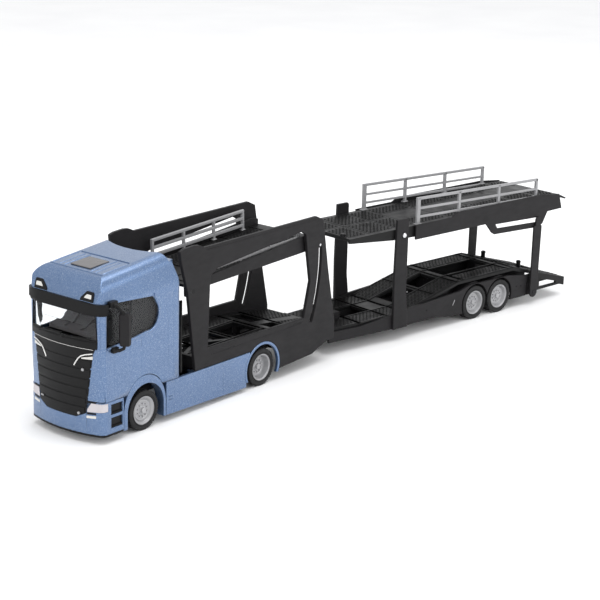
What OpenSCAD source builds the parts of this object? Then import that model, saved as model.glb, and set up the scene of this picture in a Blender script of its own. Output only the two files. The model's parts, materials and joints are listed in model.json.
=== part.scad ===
// Articulated car transporter, a 1:50 toy: a two-axle truck with a hinged upper deck,
// and a low two-axle trailer hinged behind it, with a hinged upper deck on props.
// Lengths are in millimetres. X points forward, Y to the left and Z up.
// Stations along X are measured from the front axle, so most of them are negative.

/* [Truck] */
// Width across the cab and the side frames
truck_w = 52; // [44:1:60]
// Distance between the front and rear axles
wheelbase = 93; // [88:1:104]
// Front of the grille, ahead of the front axle
nose_x = 34.6; // [32:0.2:38]
// Back of the cab, behind the front axle
cab_back = 27.5; // [24:0.5:30]
// Height of the cab roof at its back edge
cab_h = 89.6; // [80:0.2:100]
// Ground clearance under the bumper and the skirts
skirt_ground = 4; // [2:0.5:6]
// Height of the seam between the cab and the parts below it
seam_z = 22.4; // [21.6:0.1:24]
// Wall of the cab shell
cab_wall = 1.6; // [1:0.1:2.5]
// Gap at the seams between the painted parts
seam_gap = 0.3; // [0.1:0.05:0.6]
// Rise of the mirror housings
mirror_h = 17; // [12:0.5:20]

/* [Wheels] */
// Diameter of the tyres
tyre_d = 21.2; // [19:0.1:22.5]
// Diameter of the rims
rim_d = 15; // [12:0.1:16]
// Width of a front tyre
front_tyre_w = 6.5; // [5:0.1:8]
// Width of a rear twin tyre
twin_tyre_w = 11; // [8:0.1:12]
// Width of a trailer tyre
trailer_tyre_w = 7; // [5:0.1:8]
// Gap between a wheel's outer face and the outer face of the skirt beside it
wheel_inset = 0.8; // [0.4:0.1:2]
// Diameter of the axle rods
axle_d = 2; // [1.6:0.1:2.6]
// Gap between the tyre and the wheel opening
arch_gap = 2.6; // [1.6:0.1:4]
// Width of the painted trim round the rear wheel opening
trim_w = 1.6; // [1:0.1:2.4]

/* [Side frames] */
// Wall of the side frames and the skirts
plate_t = 2; // [1.4:0.1:2.4]
// Height of the top chord
chord_z = 88.2; // [84:0.2:94]
// Station of the front edge of the side frames at their foot
frame_front = 37.8; // [35:0.2:40]
// Station of the back edge of the side frames at their foot
frame_back = 156.9; // [152:0.2:158]

/* [Truck upper deck] */
// Station of the upper deck's hinge
deck_hinge_x = 35.7; // [34.6:0.1:36.5]
// Height of the upper deck's hinge
deck_hinge_z = 66.3; // [64:0.1:68]
// Station of the pin that slides in the back posts
deck_pin_x = 141.8; // [140:0.1:142.6]
// Height of that pin with the deck up
deck_pin_z = 71; // [69:0.1:72]
// Angle through which the deck is lowered
deck_drop = 23.5; // [18:0.5:24]
// Wall of the deck's side bands
band_t = 1.6; // [1:0.1:2]
// Gap between the bands and the side frames
band_gap = 0.6; // [0.3:0.1:1]
// Diameter of the hinge pins and rivets
pin_d = 2; // [1.6:0.1:2.4]
// Width of the curved slots
slot_w = 2.7; // [2.4:0.1:3]

/* [Trailer] */
// Angle of the trailer to the truck, tail towards the left
trailer_swing = 8.2; // [0:0.1:12]
// Station of the trailer's pivot
pivot_x = 156.2; // [154:0.1:158]
// Diameter of the pivot pin
hitch_d = 3.2; // [2.6:0.1:4]
// Half width of the trailer's body at its skirts
skirt_y = 24.3; // [23.4:0.1:25]
// Half width of the trailer's nose between the truck's side frames
trailer_nose_y = 20.4; // [18:0.1:20.8]
// Station of the trailer's nose
trailer_front = 161.6; // [161.4:0.1:164]
// Station of the trailer's front axle
axle_3 = 284.3; // [280:0.1:286]
// Gap between the trailer's two tyres on a side
bogie_gap = 1.9; // [1.4:0.1:4]
// Station of the back of the rear ramp
ramp_end = 372.8; // [368:0.2:380]
// Ground clearance of the trailer's skirts
trailer_ground = 7.8; // [6:0.1:9]
// Height of the floor of the well
well_z = 16; // [15:0.1:17]
// Height of the floor over the wheels, above their tyres
hump_gap = 5.2; // [4.6:0.1:7]
// Wall of the trailer's skirts
skirt_t = 1.6; // [1.2:0.1:2]

/* [Trailer upper deck] */
// Station of the hinge on the front posts
post_hinge_x = 216; // [215:0.1:217]
// Height of that hinge
post_hinge_z = 65; // [63:0.1:66]
// Height of the front posts
post_h = 75; // [72:0.5:80]
// Width of the front posts
post_w = 9.6; // [8:0.1:11]
// Station of the front edge of the upper deck
deck_front = 172.5; // [170:0.5:176]
// Station of the back edge of the upper deck
deck_back = 361; // [356:0.5:366]
// Height of the upper deck's floor
deck_z = 69; // [68:0.1:70.5]
// Wall of the deck's side beams
beam_t = 1.2; // [1:0.1:1.6]
// Station of the feet of the rear props
prop_x = 338; // [337:0.1:339]
// Height of the pins in the feet of the rear props
prop_z = 8.5; // [8:0.1:9.5]
// Width of the rear props
prop_w = 7.6; // [6:0.1:8.4]
// Wall of the rear props
prop_t = 1.2; // [1:0.1:1.6]
// Height of the guard rails
rail_h = 15.6; // [10:0.2:18]

/* [Hidden] */
$fn = 48;

paint = [0.36, 0.47, 0.68];
black = [0.13, 0.13, 0.14];
grey = [0.55, 0.56, 0.58];

half_w = truck_w / 2;
axle_z = tyre_d / 2;
inner_y = half_w - plate_t;
axle_r = axle_d / 2;
pin_r = pin_d / 2;
running = 0.08;
fit_gap = 0.05;
arch_r = axle_z + arch_gap;
axle_4 = axle_3 + tyre_d + bogie_gap;
hump_z = tyre_d + hump_gap;

beam_in = skirt_y + 0.3;
beam_out = beam_in + beam_t;
beam_tail = deck_back + 2.3;

// The mirror housing: its turn, its middle beside the cab, and its half depth and half width.
mirror_turn = 35;
mirror_y = 4.8;
mirror_half_t = 1.5;
mirror_half_w = 3.1;

// The whole model stands with the middle of its outline over the origin.
tail = ramp_end - pivot_x;
beam_end = beam_tail - pivot_x;
x_front = nose_x;
x_rear = -pivot_x - tail * cos(trailer_swing) - skirt_y * sin(trailer_swing);
y_right = -half_w - mirror_y - mirror_half_t * sin(mirror_turn) - mirror_half_w * cos(mirror_turn);
y_left = max(tail * sin(trailer_swing) + skirt_y * cos(trailer_swing),
    beam_end * sin(trailer_swing) + beam_out * cos(trailer_swing));
module place() {
    translate([-(x_front + x_rear) / 2, -(y_left + y_right) / 2, 0]) children();
}

// Puts children from the trailer's own straight frame into its swung place.
module swung() {
    place() translate([-pivot_x, 0, 0]) rotate([0, 0, -trailer_swing])
        translate([pivot_x, 0, 0]) children();
}

// A plate with its outline in X and Z, from y to y + t.
module side_plate(y, t) {
    translate([0, y + t, 0]) rotate([90, 0, 0]) linear_extrude(t) children();
}

// A plate with its outline in Y and Z, from x to x + t.
module front_plate(x, t) {
    translate([x, 0, 0]) rotate([90, 0, 90]) linear_extrude(t) children();
}

// The children and their mirror image on the other side.
module both_sides() {
    children();
    mirror([0, 1, 0]) children();
}

// A round bar across the vehicle from y to y + t.
module cross_bar(x, z, r, y, t) {
    translate([x, y + t, z]) rotate([90, 0, 0]) cylinder(r = r, h = t);
}

// A block between two corners.
module block(low, high) {
    translate(low) cube(high - low);
}

// Points on an arc about [x, z], from angle a0 to a1 in n steps.
function arc(x, z, rx, rz, a0, a1, n) =
    [for (i = [0 : n]) let (a = a0 + (a1 - a0) * i / n) [x + rx * cos(a), z + rz * sin(a)]];

/* Cab */
front_curve_r = 72;
corner_r = 4;
roof_r = 6.5;
roof_tilt = 5.6;
roof_back = 20.5;
windscreen_low = 51;
windscreen_high = 71.5;
visor_z = 70.4;

module cab_plan() {
    offset(r = corner_r, $fn = 32) offset(delta = -corner_r) intersection() {
        translate([-cab_back, -half_w]) square([cab_back + nose_x + 10, truck_w]);
        translate([nose_x - front_curve_r, 0]) circle(r = front_curve_r, $fn = 160);
    }
}

// Side outline of the cab, clockwise from its lower back corner.
module cab_profile() {
    polygon(concat([[-cab_back, seam_z], [-cab_back, cab_h - 20], [-roof_back, cab_h],
        [0, cab_h - 1.6], [3, cab_h - 2.7], [18, cab_h - 3.4]],
        arc(18, cab_h - 14, 12.4, 10.6, 80, 6, 7),
        [[32, visor_z], [nose_x, windscreen_low], [nose_x, seam_z]]));
}

// Front outline of the cab with its roof edges rounded, its top at z = 0.
module cab_front_outline() {
    polygon(concat([[-half_w, -cab_h], [half_w, -cab_h], [half_w, -3 * roof_r]],
        arc(half_w - roof_r - 0.8, -roof_r, roof_r, roof_r, 0, 90, 7),
        arc(-half_w + roof_r + 0.8, -roof_r, roof_r, roof_r, 90, 180, 7),
        [[-half_w, -3 * roof_r]]));
}

// The cab's volume, drawn in by inset on every face.
module cab_volume(inset) {
    intersection() {
        translate([-roof_back, 0, cab_h]) rotate([0, roof_tilt, 0])
            front_plate(-cab_back, 3 * cab_back) offset(delta = -inset) cab_front_outline();
        side_plate(-half_w + inset, truck_w - 2 * inset) offset(delta = -inset) cab_profile();
        linear_extrude(cab_h + 5) offset(delta = -inset) cab_plan();
    }
}

// The front arch piece: its depth, its half width, its rise and the height of its middle.
arch_depth = 6;
arch_half = arch_r + 2.2;
arch_rise = arch_r + 4.8;
arch_z = axle_z + 1.4;

// Outline of the front arch piece, grown by grow.
module arch_outline(grow) {
    polygon(concat([[arch_half + grow, skirt_ground]],
        arc(0, arch_z, arch_half + grow, arch_rise + grow, 0, 180, 24),
        [[-arch_half - grow, skirt_ground]]));
}

module side_window(shrink) {
    offset(delta = -shrink) polygon(concat([[27, 72.8], [27.6, 50.4], [8, 51.8]],
        arc(-2, 61.6, 7.6, 8.6, -80, -200, 8), [[-6, 70.4]]));
}

module windscreen_outline(shrink) {
    offset(delta = -shrink) polygon([[-21.6, 71.6], [21.6, 71.6], [22.8, 53.4], [21, 52],
        [-21, 52], [-22.8, 53.4]]);
}

module grille_outline(grow) {
    offset(delta = grow) polygon([[-22.6, 52], [22.6, 52], [20.4, 47], [16.4, 16],
        [10.4, 13.2], [-10.4, 13.2], [-16.4, 16], [-20.4, 47]]);
}

module headlight_outline(grow) {
    offset(delta = grow) polygon([[16.9, 16.6], [17.4, 21.6], [half_w + 1, 21.6],
        [half_w + 1, 17.4]]);
}

module cab_shell() {
    place() color(paint) difference() {
        cab_volume(0);
        cab_volume(cab_wall);
        both_sides() side_plate(half_w - 3, 6) side_window(0);
        front_plate(20, 20) windscreen_outline(0);
        side_cut_grille();
        both_sides() side_plate(half_w - arch_depth - 0.5, 10) arch_outline(seam_gap);
    }
}

// The pocket in the cab and the bumper that takes the grille.
module side_cut_grille() {
    difference() {
        front_plate(20, 20) grille_outline(fit_gap);
        translate([nose_x - front_curve_r, 0, 0])
            cylinder(r = front_curve_r - 1.2, h = 60, $fn = 160);
    }
}

module front_bumper() {
    bumper_back = arch_half + seam_gap;
    bumper_wall = 2.2;
    place() color(paint) difference() {
        translate([0, 0, skirt_ground + 1]) linear_extrude(seam_z - seam_gap - skirt_ground - 1)
            intersection() {
                cab_plan();
                translate([bumper_back, -half_w]) square([40, truck_w]);
            }
        translate([0, 0, skirt_ground]) linear_extrude(30) offset(delta = -bumper_wall) cab_plan();
        side_cut_grille();
        both_sides() headlight_pocket(fit_gap);
        both_sides() for (z = [8, 15])
            block([bumper_back + 0.8, half_w - 1.2, z], [24.5, half_w + 1, z + 5.4]);
    }
}

module headlight_pocket(grow) {
    headlight_back = 26.6;
    intersection() {
        front_plate(headlight_back - grow, 20) headlight_outline(grow);
        difference() {
            translate([0, 0, 10]) linear_extrude(20) offset(delta = 1) cab_plan();
            translate([0, 0, 9]) linear_extrude(22) offset(delta = -1.1 - grow) cab_plan();
        }
    }
}

module headlights() {
    place() color([0.85, 0.8, 0.82]) intersection() {
        both_sides() headlight_pocket(0);
        translate([0, 0, 10]) linear_extrude(20) offset(delta = -0.1) cab_plan();
    }
}

module cab_glazing() {
    place() color([0.5, 0.6, 0.65, 0.4]) difference() {
        intersection() {
            cab_volume(0.5);
            union() {
                both_sides() side_plate(half_w - 3, 6) side_window(0.1);
                front_plate(20, 20) windscreen_outline(0.1);
            }
        }
        cab_volume(1.3);
    }
}

module cab_interior() {
    floor_z = seam_z + cab_wall;
    wall_in = cab_wall + 0.3;
    place() color([0.1, 0.1, 0.11]) union() {
        intersection() {
            cab_volume(wall_in);
            block([-cab_back, -19.2, floor_z], [nose_x, 19.2, 31]);
        }
        intersection() {
            cab_volume(wall_in);
            side_plate(-24, 48) polygon([[22, 30.6], [34, 30.6], [34, 48.6], [27, 48.6], [22, 45]]);
        }
        both_sides() translate([0, 5, 0]) side_plate(0, 12)
            polygon([[-6, 30.6], [8, 30.6], [9, 38], [-3, 39], [-6, 60], [-9, 60], [-7, 38]]);
        translate([21, 11, 46.4]) rotate([0, -35, 0]) difference() {
            cylinder(r = 4.6, h = 1);
            translate([0, 0, -1]) cylinder(r = 3.6, h = 3);
        }
        translate([20, 10.4, 44]) cube([3, 1.2, 3]);
        translate([20, 6.6, 46.2]) rotate([0, -35, 0]) cube([1, 8.6, 0.8]);
    }
}

module sun_visor() {
    reach = 1.3;
    place() color(black) difference() {
        intersection() {
            side_plate(-half_w - reach, truck_w + 2 * reach) polygon([[28, 67.6], [33.6, 67.6],
                [34, 69], [33, 73.4], [28, 73.8]]);
            linear_extrude(cab_h) offset(delta = reach) cab_plan();
        }
        cab_volume(0);
    }
}

module grille() {
    slat_z = [19, 24, 29, 34, 39];
    place() color(black) difference() {
        intersection() {
            front_plate(20, 20) grille_outline(0);
            translate([nose_x - front_curve_r, 0, 0]) difference() {
                cylinder(r = front_curve_r - 0.05, h = 60, $fn = 160);
                translate([0, 0, -1]) cylinder(r = front_curve_r - 1.15, h = 62, $fn = 160);
            }
        }
        for (z = slat_z) translate([nose_x - front_curve_r, 0, z]) difference() {
            cylinder(r = front_curve_r + 1, h = 0.7, $fn = 160);
            translate([0, 0, -1]) cylinder(r = front_curve_r - 0.6, h = 3, $fn = 160);
        }
    }
}

module marker_lamps() {
    place() color([0.9, 0.88, 0.8]) difference() {
        both_sides() side_plate(13.2, 6.4)
            polygon([[28, 74.4], [32.2, 74.4], [31.6, 77.6], [28, 78.2]]);
        cab_volume(0);
    }
}

module roof_hatch() {
    place() color([0.35, 0.36, 0.36]) difference() {
        side_plate(-7, 14) polygon([[6, cab_h - 4], [6, cab_h - 2.4], [19.5, cab_h - 3.2],
            [19.5, cab_h - 5]]);
        cab_volume(0);
    }
}

// Arms, housing and foot of the left mirror.
module mirror_piece() {
    arm_x = 24;
    color(black) union() {
        difference() {
            union() {
                block([arm_x - 3, half_w - 3, 71.6], [arm_x + 3, half_w + 4, 74.6]);
                block([arm_x - 3.6, half_w - 3, 47.4], [arm_x + 1, half_w + 4, 50]);
            }
            cab_volume(0);
        }
        block([arm_x - 4.6, half_w + 1.6, 47.4], [arm_x - 1.6, half_w + 4, 74.6]);
        translate([arm_x - 4.4, half_w + mirror_y, 51]) rotate([0, 0, mirror_turn])
            block([-mirror_half_t, -mirror_half_w, 0], [mirror_half_t, mirror_half_w, mirror_h]);
    }
}

module mirror_left() {
    place() mirror_piece();
}

module mirror_right() {
    place() mirror([0, 1, 0]) mirror_piece();
}

module front_arches() {
    place() color(paint) both_sides() difference() {
        side_plate(half_w - arch_depth, arch_depth) arch_outline(0);
        cross_bar(-0.5, arch_z, arch_r, half_w - arch_depth - 1, arch_depth + 2);
        block([-0.5 - arch_r, half_w - arch_depth - 1, 0], [arch_r - 0.5, half_w + 1, arch_z]);
    }
}

/* Chassis and skirts of the truck */
rail_y = 7;
rail_t = 3;
rail_low = 13;
rail_top = 19;
hitch_t = 2.6;
hitch_z = 12;

module truck_chassis() {
    place() color(black) difference() {
        union() {
            both_sides() block([-128, rail_y, rail_low], [28, rail_y + rail_t, rail_top]);
            for (x = [24, 12, -14, -50, -78, -112, -128])
                block([x, -rail_y, rail_low + 1], [x + 3, rail_y, rail_top - 1]);
            for (x = [0, -wheelbase]) both_sides()
                block([x - 3, rail_y, axle_z - 3], [x + 3, rail_y + rail_t, rail_low]);
            for (x = [18, -22]) both_sides()
                block([x, rail_y, rail_top], [x + 4, rail_y + rail_t, seam_z]);
            for (x = [-50, -112]) both_sides()
                block([x, rail_y, rail_top], [x + 3, rail_y + rail_t, 24]);
            block([-pivot_x, -4.5, hitch_z], [-122, 4.5, hitch_z + hitch_t]);
            both_sides() block([-128, 4, hitch_z], [-122, rail_y + rail_t, rail_low + 0.5]);
            translate([-pivot_x, 0, hitch_z]) cylinder(r = 4.5, h = hitch_t);
            block([25, -18, 12], [28.6, 18, 15]);
        }
        for (x = [0, -wheelbase]) cross_bar(x, axle_z, axle_r + running, -20, 40);
        translate([-pivot_x, 0, hitch_z - 1]) cylinder(r = hitch_d / 2 + running, h = hitch_t + 2);
    }
}

skirt_top = seam_z - seam_gap;
skirt_back = wheelbase - arch_r - trim_w;

module side_skirts() {
    skirt_front = arch_half + seam_gap;
    place() color(paint) both_sides() {
        difference() {
            side_plate(inner_y, plate_t) polygon([[-skirt_front, skirt_ground],
                [-skirt_front, skirt_top], [-skirt_back - 4, skirt_top],
                [-skirt_back - 1, skirt_ground - 1.4], [-skirt_back + 6, skirt_ground - 1.4]]);
            cross_bar(-wheelbase, axle_z, arch_r + trim_w + 0.1, inner_y - 1, plate_t + 2);
        }
        block([-50, rail_y + rail_t, rail_low + 1], [-47, inner_y, rail_low + 4]);
        block([-24, rail_y + rail_t, rail_low + 1], [-21, inner_y, rail_low + 4]);
    }
}

module rear_arch_trims() {
    place() color(paint) both_sides() difference() {
        cross_bar(-wheelbase, axle_z, arch_r + trim_w, inner_y, plate_t);
        cross_bar(-wheelbase, axle_z, arch_r, inner_y - 1, plate_t + 2);
        block([-wheelbase - 30, inner_y - 1, -10], [-wheelbase + 30, half_w + 1, 5]);
    }
}

/* Side frames */
slide_r = norm([deck_pin_x - deck_hinge_x, deck_pin_z - deck_hinge_z]);
deck_tilt = atan2(deck_pin_z - deck_hinge_z, deck_pin_x - deck_hinge_x);
frame_low = skirt_top + seam_gap;

module frame_outline() {
    polygon([[-frame_front, frame_low], [-31.6, 66.5], [-26.5, 84], [-25.8, chord_z + 1],
        [-29, chord_z + 2], [-36.5, chord_z + 2.4], [-40, chord_z + 2], [-44.4, chord_z],
        [-137.8, chord_z], [-143.8, chord_z - 2.8], [-146.1, 74.3], [-149.7, 54.9],
        [-frame_back, 22.4], [-frame_back, 12.7], [-150.3, 12.7], [-136.7, 7.9],
        [-wheelbase - 8, 6.4], [-wheelbase, axle_z], [-wheelbase, frame_low]]);
}

module window_outline() {
    polygon([[-47.5, 32.6], [-49, 72], [-54.8, 75], [-125, 81.6], [-128.6, 79.4],
        [-130.1, 69.4], [-133.4, 51.7], [-128.4, 31.2]]);
}

// The curved slot that the deck's pin slides in, about the deck's hinge.
module slide_slot() {
    a0 = 180 - deck_tilt;
    a1 = a0 + deck_drop;
    polygon(concat(
        arc(-deck_hinge_x, deck_hinge_z, slide_r - slot_w / 2, slide_r - slot_w / 2, a0, a1, 24),
        arc(-deck_hinge_x, deck_hinge_z, slide_r + slot_w / 2, slide_r + slot_w / 2, a1, a0, 24)));
    for (a = [a0, a1]) translate([-deck_hinge_x + slide_r * cos(a),
        deck_hinge_z + slide_r * sin(a)]) circle(d = slot_w);
}

module side_frame() {
    color(black) difference() {
        side_plate(inner_y, plate_t) difference() {
            frame_outline();
            window_outline();
            slide_slot();
        }
        cross_bar(-deck_hinge_x, deck_hinge_z, pin_r + running, inner_y - 1, plate_t + 2);
        cross_bar(-wheelbase, axle_z, arch_r + trim_w + 0.1, inner_y - 1, plate_t + 2);
    }
}

module side_frame_left() {
    place() side_frame();
}

module side_frame_right() {
    place() mirror([0, 1, 0]) side_frame();
}

bay_z = tyre_d + 4.8;
bay_end_z = 20.4;
floor_t = 2;

module truck_lower_deck() {
    deck_end = frame_back - 1.4;
    place() color(black) difference() {
        union() {
            difference() {
                side_plate(-inner_y, 2 * inner_y) polygon([[-42, bay_z - floor_t], [-42, bay_z],
                    [-112, bay_z], [-deck_end, bay_end_z], [-deck_end, bay_end_z - floor_t],
                    [-112, bay_z - floor_t]]);
                block([-84, -9, 0], [-48, 9, 50]);
                block([-108, -9, 0], [-88, 9, 50]);
                both_sides() block([-60, 13, 0], [-50, 21, 50]);
                both_sides() block([-128, 3, 0], [-116, 20, 50]);
            }
            intersection() {
                block([-85, -9.5, bay_z - floor_t], [-47, 9.5, bay_z - 0.4]);
                translate([-66, 0, 0]) for (a = [-26, 26]) rotate([0, 0, a])
                    block([-24, -1.2, 0], [24, 1.2, 50]);
            }
        }
    }
}

module frame_crossbeams() {
    place() color(black) {
        block([-42, -inner_y, frame_low], [-39.5, inner_y, 29]);
        block([-148, -inner_y, hitch_z + hitch_t], [-145, inner_y, bay_end_z - floor_t + 0.9]);
    }
}

/* Upper deck of the truck, drawn with its hinge at the origin and its pin straight behind it */
band_y = inner_y - band_gap - band_t;
plate_top = 3.4;
deck_plate_t = 1.6;

module on_truck_deck() {
    place() translate([-deck_hinge_x, 0, deck_hinge_z]) rotate([0, deck_tilt, 0]) children();
}

module truck_upper_deck() {
    on_truck_deck() color(black) difference() {
        block([-slide_r - 2.6, -band_y, plate_top - deck_plate_t], [2, band_y, plate_top]);
        for (x = [-98, -70, -42]) block([x, -7, 0], [x + 20, 7, 10]);
    }
}

module truck_deck_band() {
    color(black) difference() {
        side_plate(band_y, band_t) polygon([[3, -2.8], [-3, -2.8], [-9, -0.9],
            [-slide_r - 2.6, -2.2], [-slide_r - 2.6, 6.4], [-slide_r + 2, 7.8], [-17, 4.4],
            [3, plate_top]]);
        for (x = [0, -slide_r]) cross_bar(x, 0, pin_r + fit_gap, band_y - 1, band_t + 2);
    }
}

module truck_deck_band_left() {
    on_truck_deck() truck_deck_band();
}

module truck_deck_band_right() {
    on_truck_deck() mirror([0, 1, 0]) truck_deck_band();
}

rail_bar = 1.6;
rail_posts = 4;

// A guard rail of posts and bars standing on z = 0, from x = 0 backwards.
module guard_rail(length, height) {
    step = (length - rail_bar) / (rail_posts - 1);
    for (i = [0 : rail_posts - 1]) {
        block([-i * step - rail_bar, -rail_bar / 2, 0], [-i * step, rail_bar / 2, height]);
        block([-i * step - rail_bar - 0.8, -rail_bar + 0.4, 0], [-i * step + 0.8, rail_bar - 0.4, 0.5]);
    }
    for (h = [0.3, 0.64, 1]) block([-length, -rail_bar / 2, height * h - rail_bar],
        [0, rail_bar / 2, height * h]);
}

module truck_deck_rails() {
    on_truck_deck() color(grey) both_sides()
        translate([-18, band_y - 1.4, plate_top]) guard_rail(76, 12);
}

module truck_deck_pins() {
    on_truck_deck() color([0.75, 0.75, 0.77]) both_sides() for (x = [0, -slide_r])
        cross_bar(x, 0, pin_r, band_y, half_w - band_y);
}

/* Wheels */
module tyre(w) {
    r = tyre_d / 2;
    rim_r = rim_d / 2 + fit_gap;
    rotate_extrude($fn = 72) polygon([[rim_r, 0.5], [rim_r + 0.8, 0], [r - 1, 0], [r, 0.9],
        [r, w - 0.9], [r - 1, w], [rim_r + 0.8, w], [rim_r, w - 0.5]]);
}

// A twin tyre: one moulding with a groove between its two treads.
module twin_tyre(w) {
    r = tyre_d / 2;
    rim_r = rim_d / 2 + fit_gap;
    rotate_extrude($fn = 72) polygon([[rim_r, 0.5], [rim_r + 0.8, 0], [r - 1, 0], [r, 0.9],
        [r, w / 2 - 1], [r - 2, w / 2 - 0.3], [r - 2, w / 2 + 0.3], [r, w / 2 + 1],
        [r, w - 0.9], [r - 1, w], [rim_r + 0.8, w], [rim_r, w - 0.5]]);
}

// A rim whose disc lies dish below its outer face, which is at z = w.
module rim(w, dish) {
    r = rim_d / 2;
    disc_t = 1.6;
    difference() {
        rotate_extrude($fn = 72) polygon([[0, w - dish - disc_t - 1], [3, w - dish - disc_t - 1],
            [3, w - dish - disc_t], [r - 1, w - dish - disc_t], [r - 1, 0.6], [r, 0.6],
            [r, w - 0.3], [r - 0.8, w - 0.3], [r - 1.2, w - dish], [3.2, w - dish],
            [2.8, w - dish + 0.7], [0, w - dish + 0.7]]);
        cylinder(r = axle_r + fit_gap, h = w - dish - 0.4);
    }
}

// Puts children with their outer face at z = w on the left end of an axle.
module wheel_left(x, face, w) {
    translate([-x, face - w, axle_z]) rotate([-90, 0, 0]) children();
}

wheel_face = half_w - wheel_inset;
trailer_face = skirt_y;
axle_end = 3.1;

module front_tyre_left() {
    place() color(black) wheel_left(0, wheel_face, front_tyre_w) tyre(front_tyre_w);
}

module front_tyre_right() {
    place() mirror([0, 1, 0]) color(black) wheel_left(0, wheel_face, front_tyre_w)
        tyre(front_tyre_w);
}

module front_rims() {
    place() color(grey) both_sides() wheel_left(0, wheel_face, front_tyre_w)
        rim(front_tyre_w, 1.2);
}

module front_axle() {
    place() color(grey) cross_bar(0, axle_z, axle_r, -wheel_face + axle_end,
        2 * (wheel_face - axle_end));
}

module rear_tyre_left() {
    place() color(black) wheel_left(wheelbase, wheel_face, twin_tyre_w) twin_tyre(twin_tyre_w);
}

module rear_tyre_right() {
    place() mirror([0, 1, 0]) color(black) wheel_left(wheelbase, wheel_face, twin_tyre_w)
        twin_tyre(twin_tyre_w);
}

module rear_rims() {
    place() color(grey) both_sides() wheel_left(wheelbase, wheel_face, twin_tyre_w)
        rim(twin_tyre_w, 3.6);
}

module rear_axle() {
    place() color(grey) cross_bar(-wheelbase, axle_z, axle_r, -wheel_face + axle_end + 2.4,
        2 * (wheel_face - axle_end - 2.4));
}

module bogie_tyre(x) {
    color(black) wheel_left(x, trailer_face, trailer_tyre_w) tyre(trailer_tyre_w);
}

module bogie_rim_pair(x) {
    color(grey) both_sides() wheel_left(x, trailer_face, trailer_tyre_w) rim(trailer_tyre_w, 2.2);
}

module bogie_axle(x) {
    color(grey) cross_bar(-x, axle_z, axle_r, -trailer_face + axle_end + 1,
        2 * (trailer_face - axle_end - 1));
}

module bogie_front_tyre_left() {
    swung() bogie_tyre(axle_3);
}

module bogie_front_tyre_right() {
    swung() mirror([0, 1, 0]) bogie_tyre(axle_3);
}

module bogie_front_rims() {
    swung() bogie_rim_pair(axle_3);
}

module bogie_front_axle() {
    swung() bogie_axle(axle_3);
}

module bogie_rear_tyre_left() {
    swung() bogie_tyre(axle_4);
}

module bogie_rear_tyre_right() {
    swung() mirror([0, 1, 0]) bogie_tyre(axle_4);
}

module bogie_rear_rims() {
    swung() bogie_rim_pair(axle_4);
}

module bogie_rear_axle() {
    swung() bogie_axle(axle_4);
}

/* Trailer body, drawn straight behind the truck */
taper_end = 209;
skirt_in = skirt_y - skirt_t;
hump_front = 270;
hump_back = 322;
well_back = 222;
ramp_start = 343;
tail_z = 12;

// Height of the lower deck's floor at the ramp's start, on the line down to its tail.
ramp_start_z = hump_z - (hump_z - tail_z) * (ramp_start - hump_back) / (ramp_end - hump_back);

// Plan outline of the trailer, tapered towards its nose, drawn in by inset.
module trailer_plan(inset) {
    nose = trailer_nose_y - inset;
    wide = skirt_y - inset;
    polygon([[-trailer_front, -nose], [-trailer_front, nose], [-taper_end, wide],
        [-ramp_end, wide], [-ramp_end, -wide], [-taper_end, -wide]]);
}

module trailer_skirt() {
    color(black) difference() {
        intersection() {
            side_plate(0, 40) polygon([[-trailer_front, trailer_ground],
                [-trailer_front, well_z - 2], [-185, well_z - 2], [-well_back, well_z + 2],
                [-hump_front, 20.6], [-hump_front - 8, 22.6], [-axle_4 - 8, 22.6],
                [-334, 19.8], [-334, 6.2], [-axle_4, 6.2], [-axle_3, 5.4], [-262, 5.6],
                [-250, trailer_ground]]);
            difference() {
                linear_extrude(60) trailer_plan(0);
                linear_extrude(60) trailer_plan(skirt_t);
            }
        }
        for (x = [axle_3, axle_4]) cross_bar(-x, axle_z, axle_z + 1.4, 0, 40);
        block([-axle_4, 0, 0], [-axle_3, 40, axle_z]);
    }
}

module trailer_skirt_left() {
    swung() trailer_skirt();
}

module trailer_skirt_right() {
    swung() mirror([0, 1, 0]) trailer_skirt();
}

// Side outline of the floor, from the nose of the trailer to the start of its ramp.
module floor_profile() {
    polygon([[-trailer_front, well_z - floor_t], [-trailer_front, well_z],
        [-well_back, well_z], [-hump_front, hump_z], [-hump_back, hump_z],
        [-ramp_start, ramp_start_z], [-ramp_start, ramp_start_z - floor_t],
        [-hump_back, hump_z - floor_t], [-hump_front, hump_z - floor_t],
        [-well_back, well_z - floor_t]]);
}

// The stretch of the floor between two stations, between the skirts.
module floor_stretch(back, front) {
    intersection() {
        side_plate(-skirt_y, 2 * skirt_y) floor_profile();
        linear_extrude(hump_z + 1) trailer_plan(skirt_t);
        block([-back, -skirt_y, 0], [-front, skirt_y, hump_z + 1]);
    }
}

// A hole through the floor between two stations.
module floor_hole(back, front, half) {
    block([-back, -half, 0], [-front, half, hump_z + 1]);
}

// The webs under the floor, inboard of the wheels.
web_y = 14;
web_t = 1.2;
web_low = 13;

module trailer_well_floor() {
    swung() color(black) difference() {
        floor_stretch(well_back, trailer_front);
        floor_hole(206, 186, 7);
    }
}

module trailer_hump_floor() {
    swung() color(black) difference() {
        union() {
            floor_stretch(ramp_start, well_back);
            both_sides() side_plate(web_y, web_t) polygon([[-262, web_low], [-262, 22],
                [-hump_front, hump_z - 1], [-hump_back, hump_z - 1],
                [-ramp_start, ramp_start_z - 1], [-ramp_start, web_low]]);
        }
        floor_hole(247, 228, 7);
        floor_hole(267, 251, 7);
        floor_hole(axle_4 + 8, axle_3 - 8, 11);
        floor_hole(ramp_start - 4, hump_back + 2, 12);
    }
}

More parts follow.
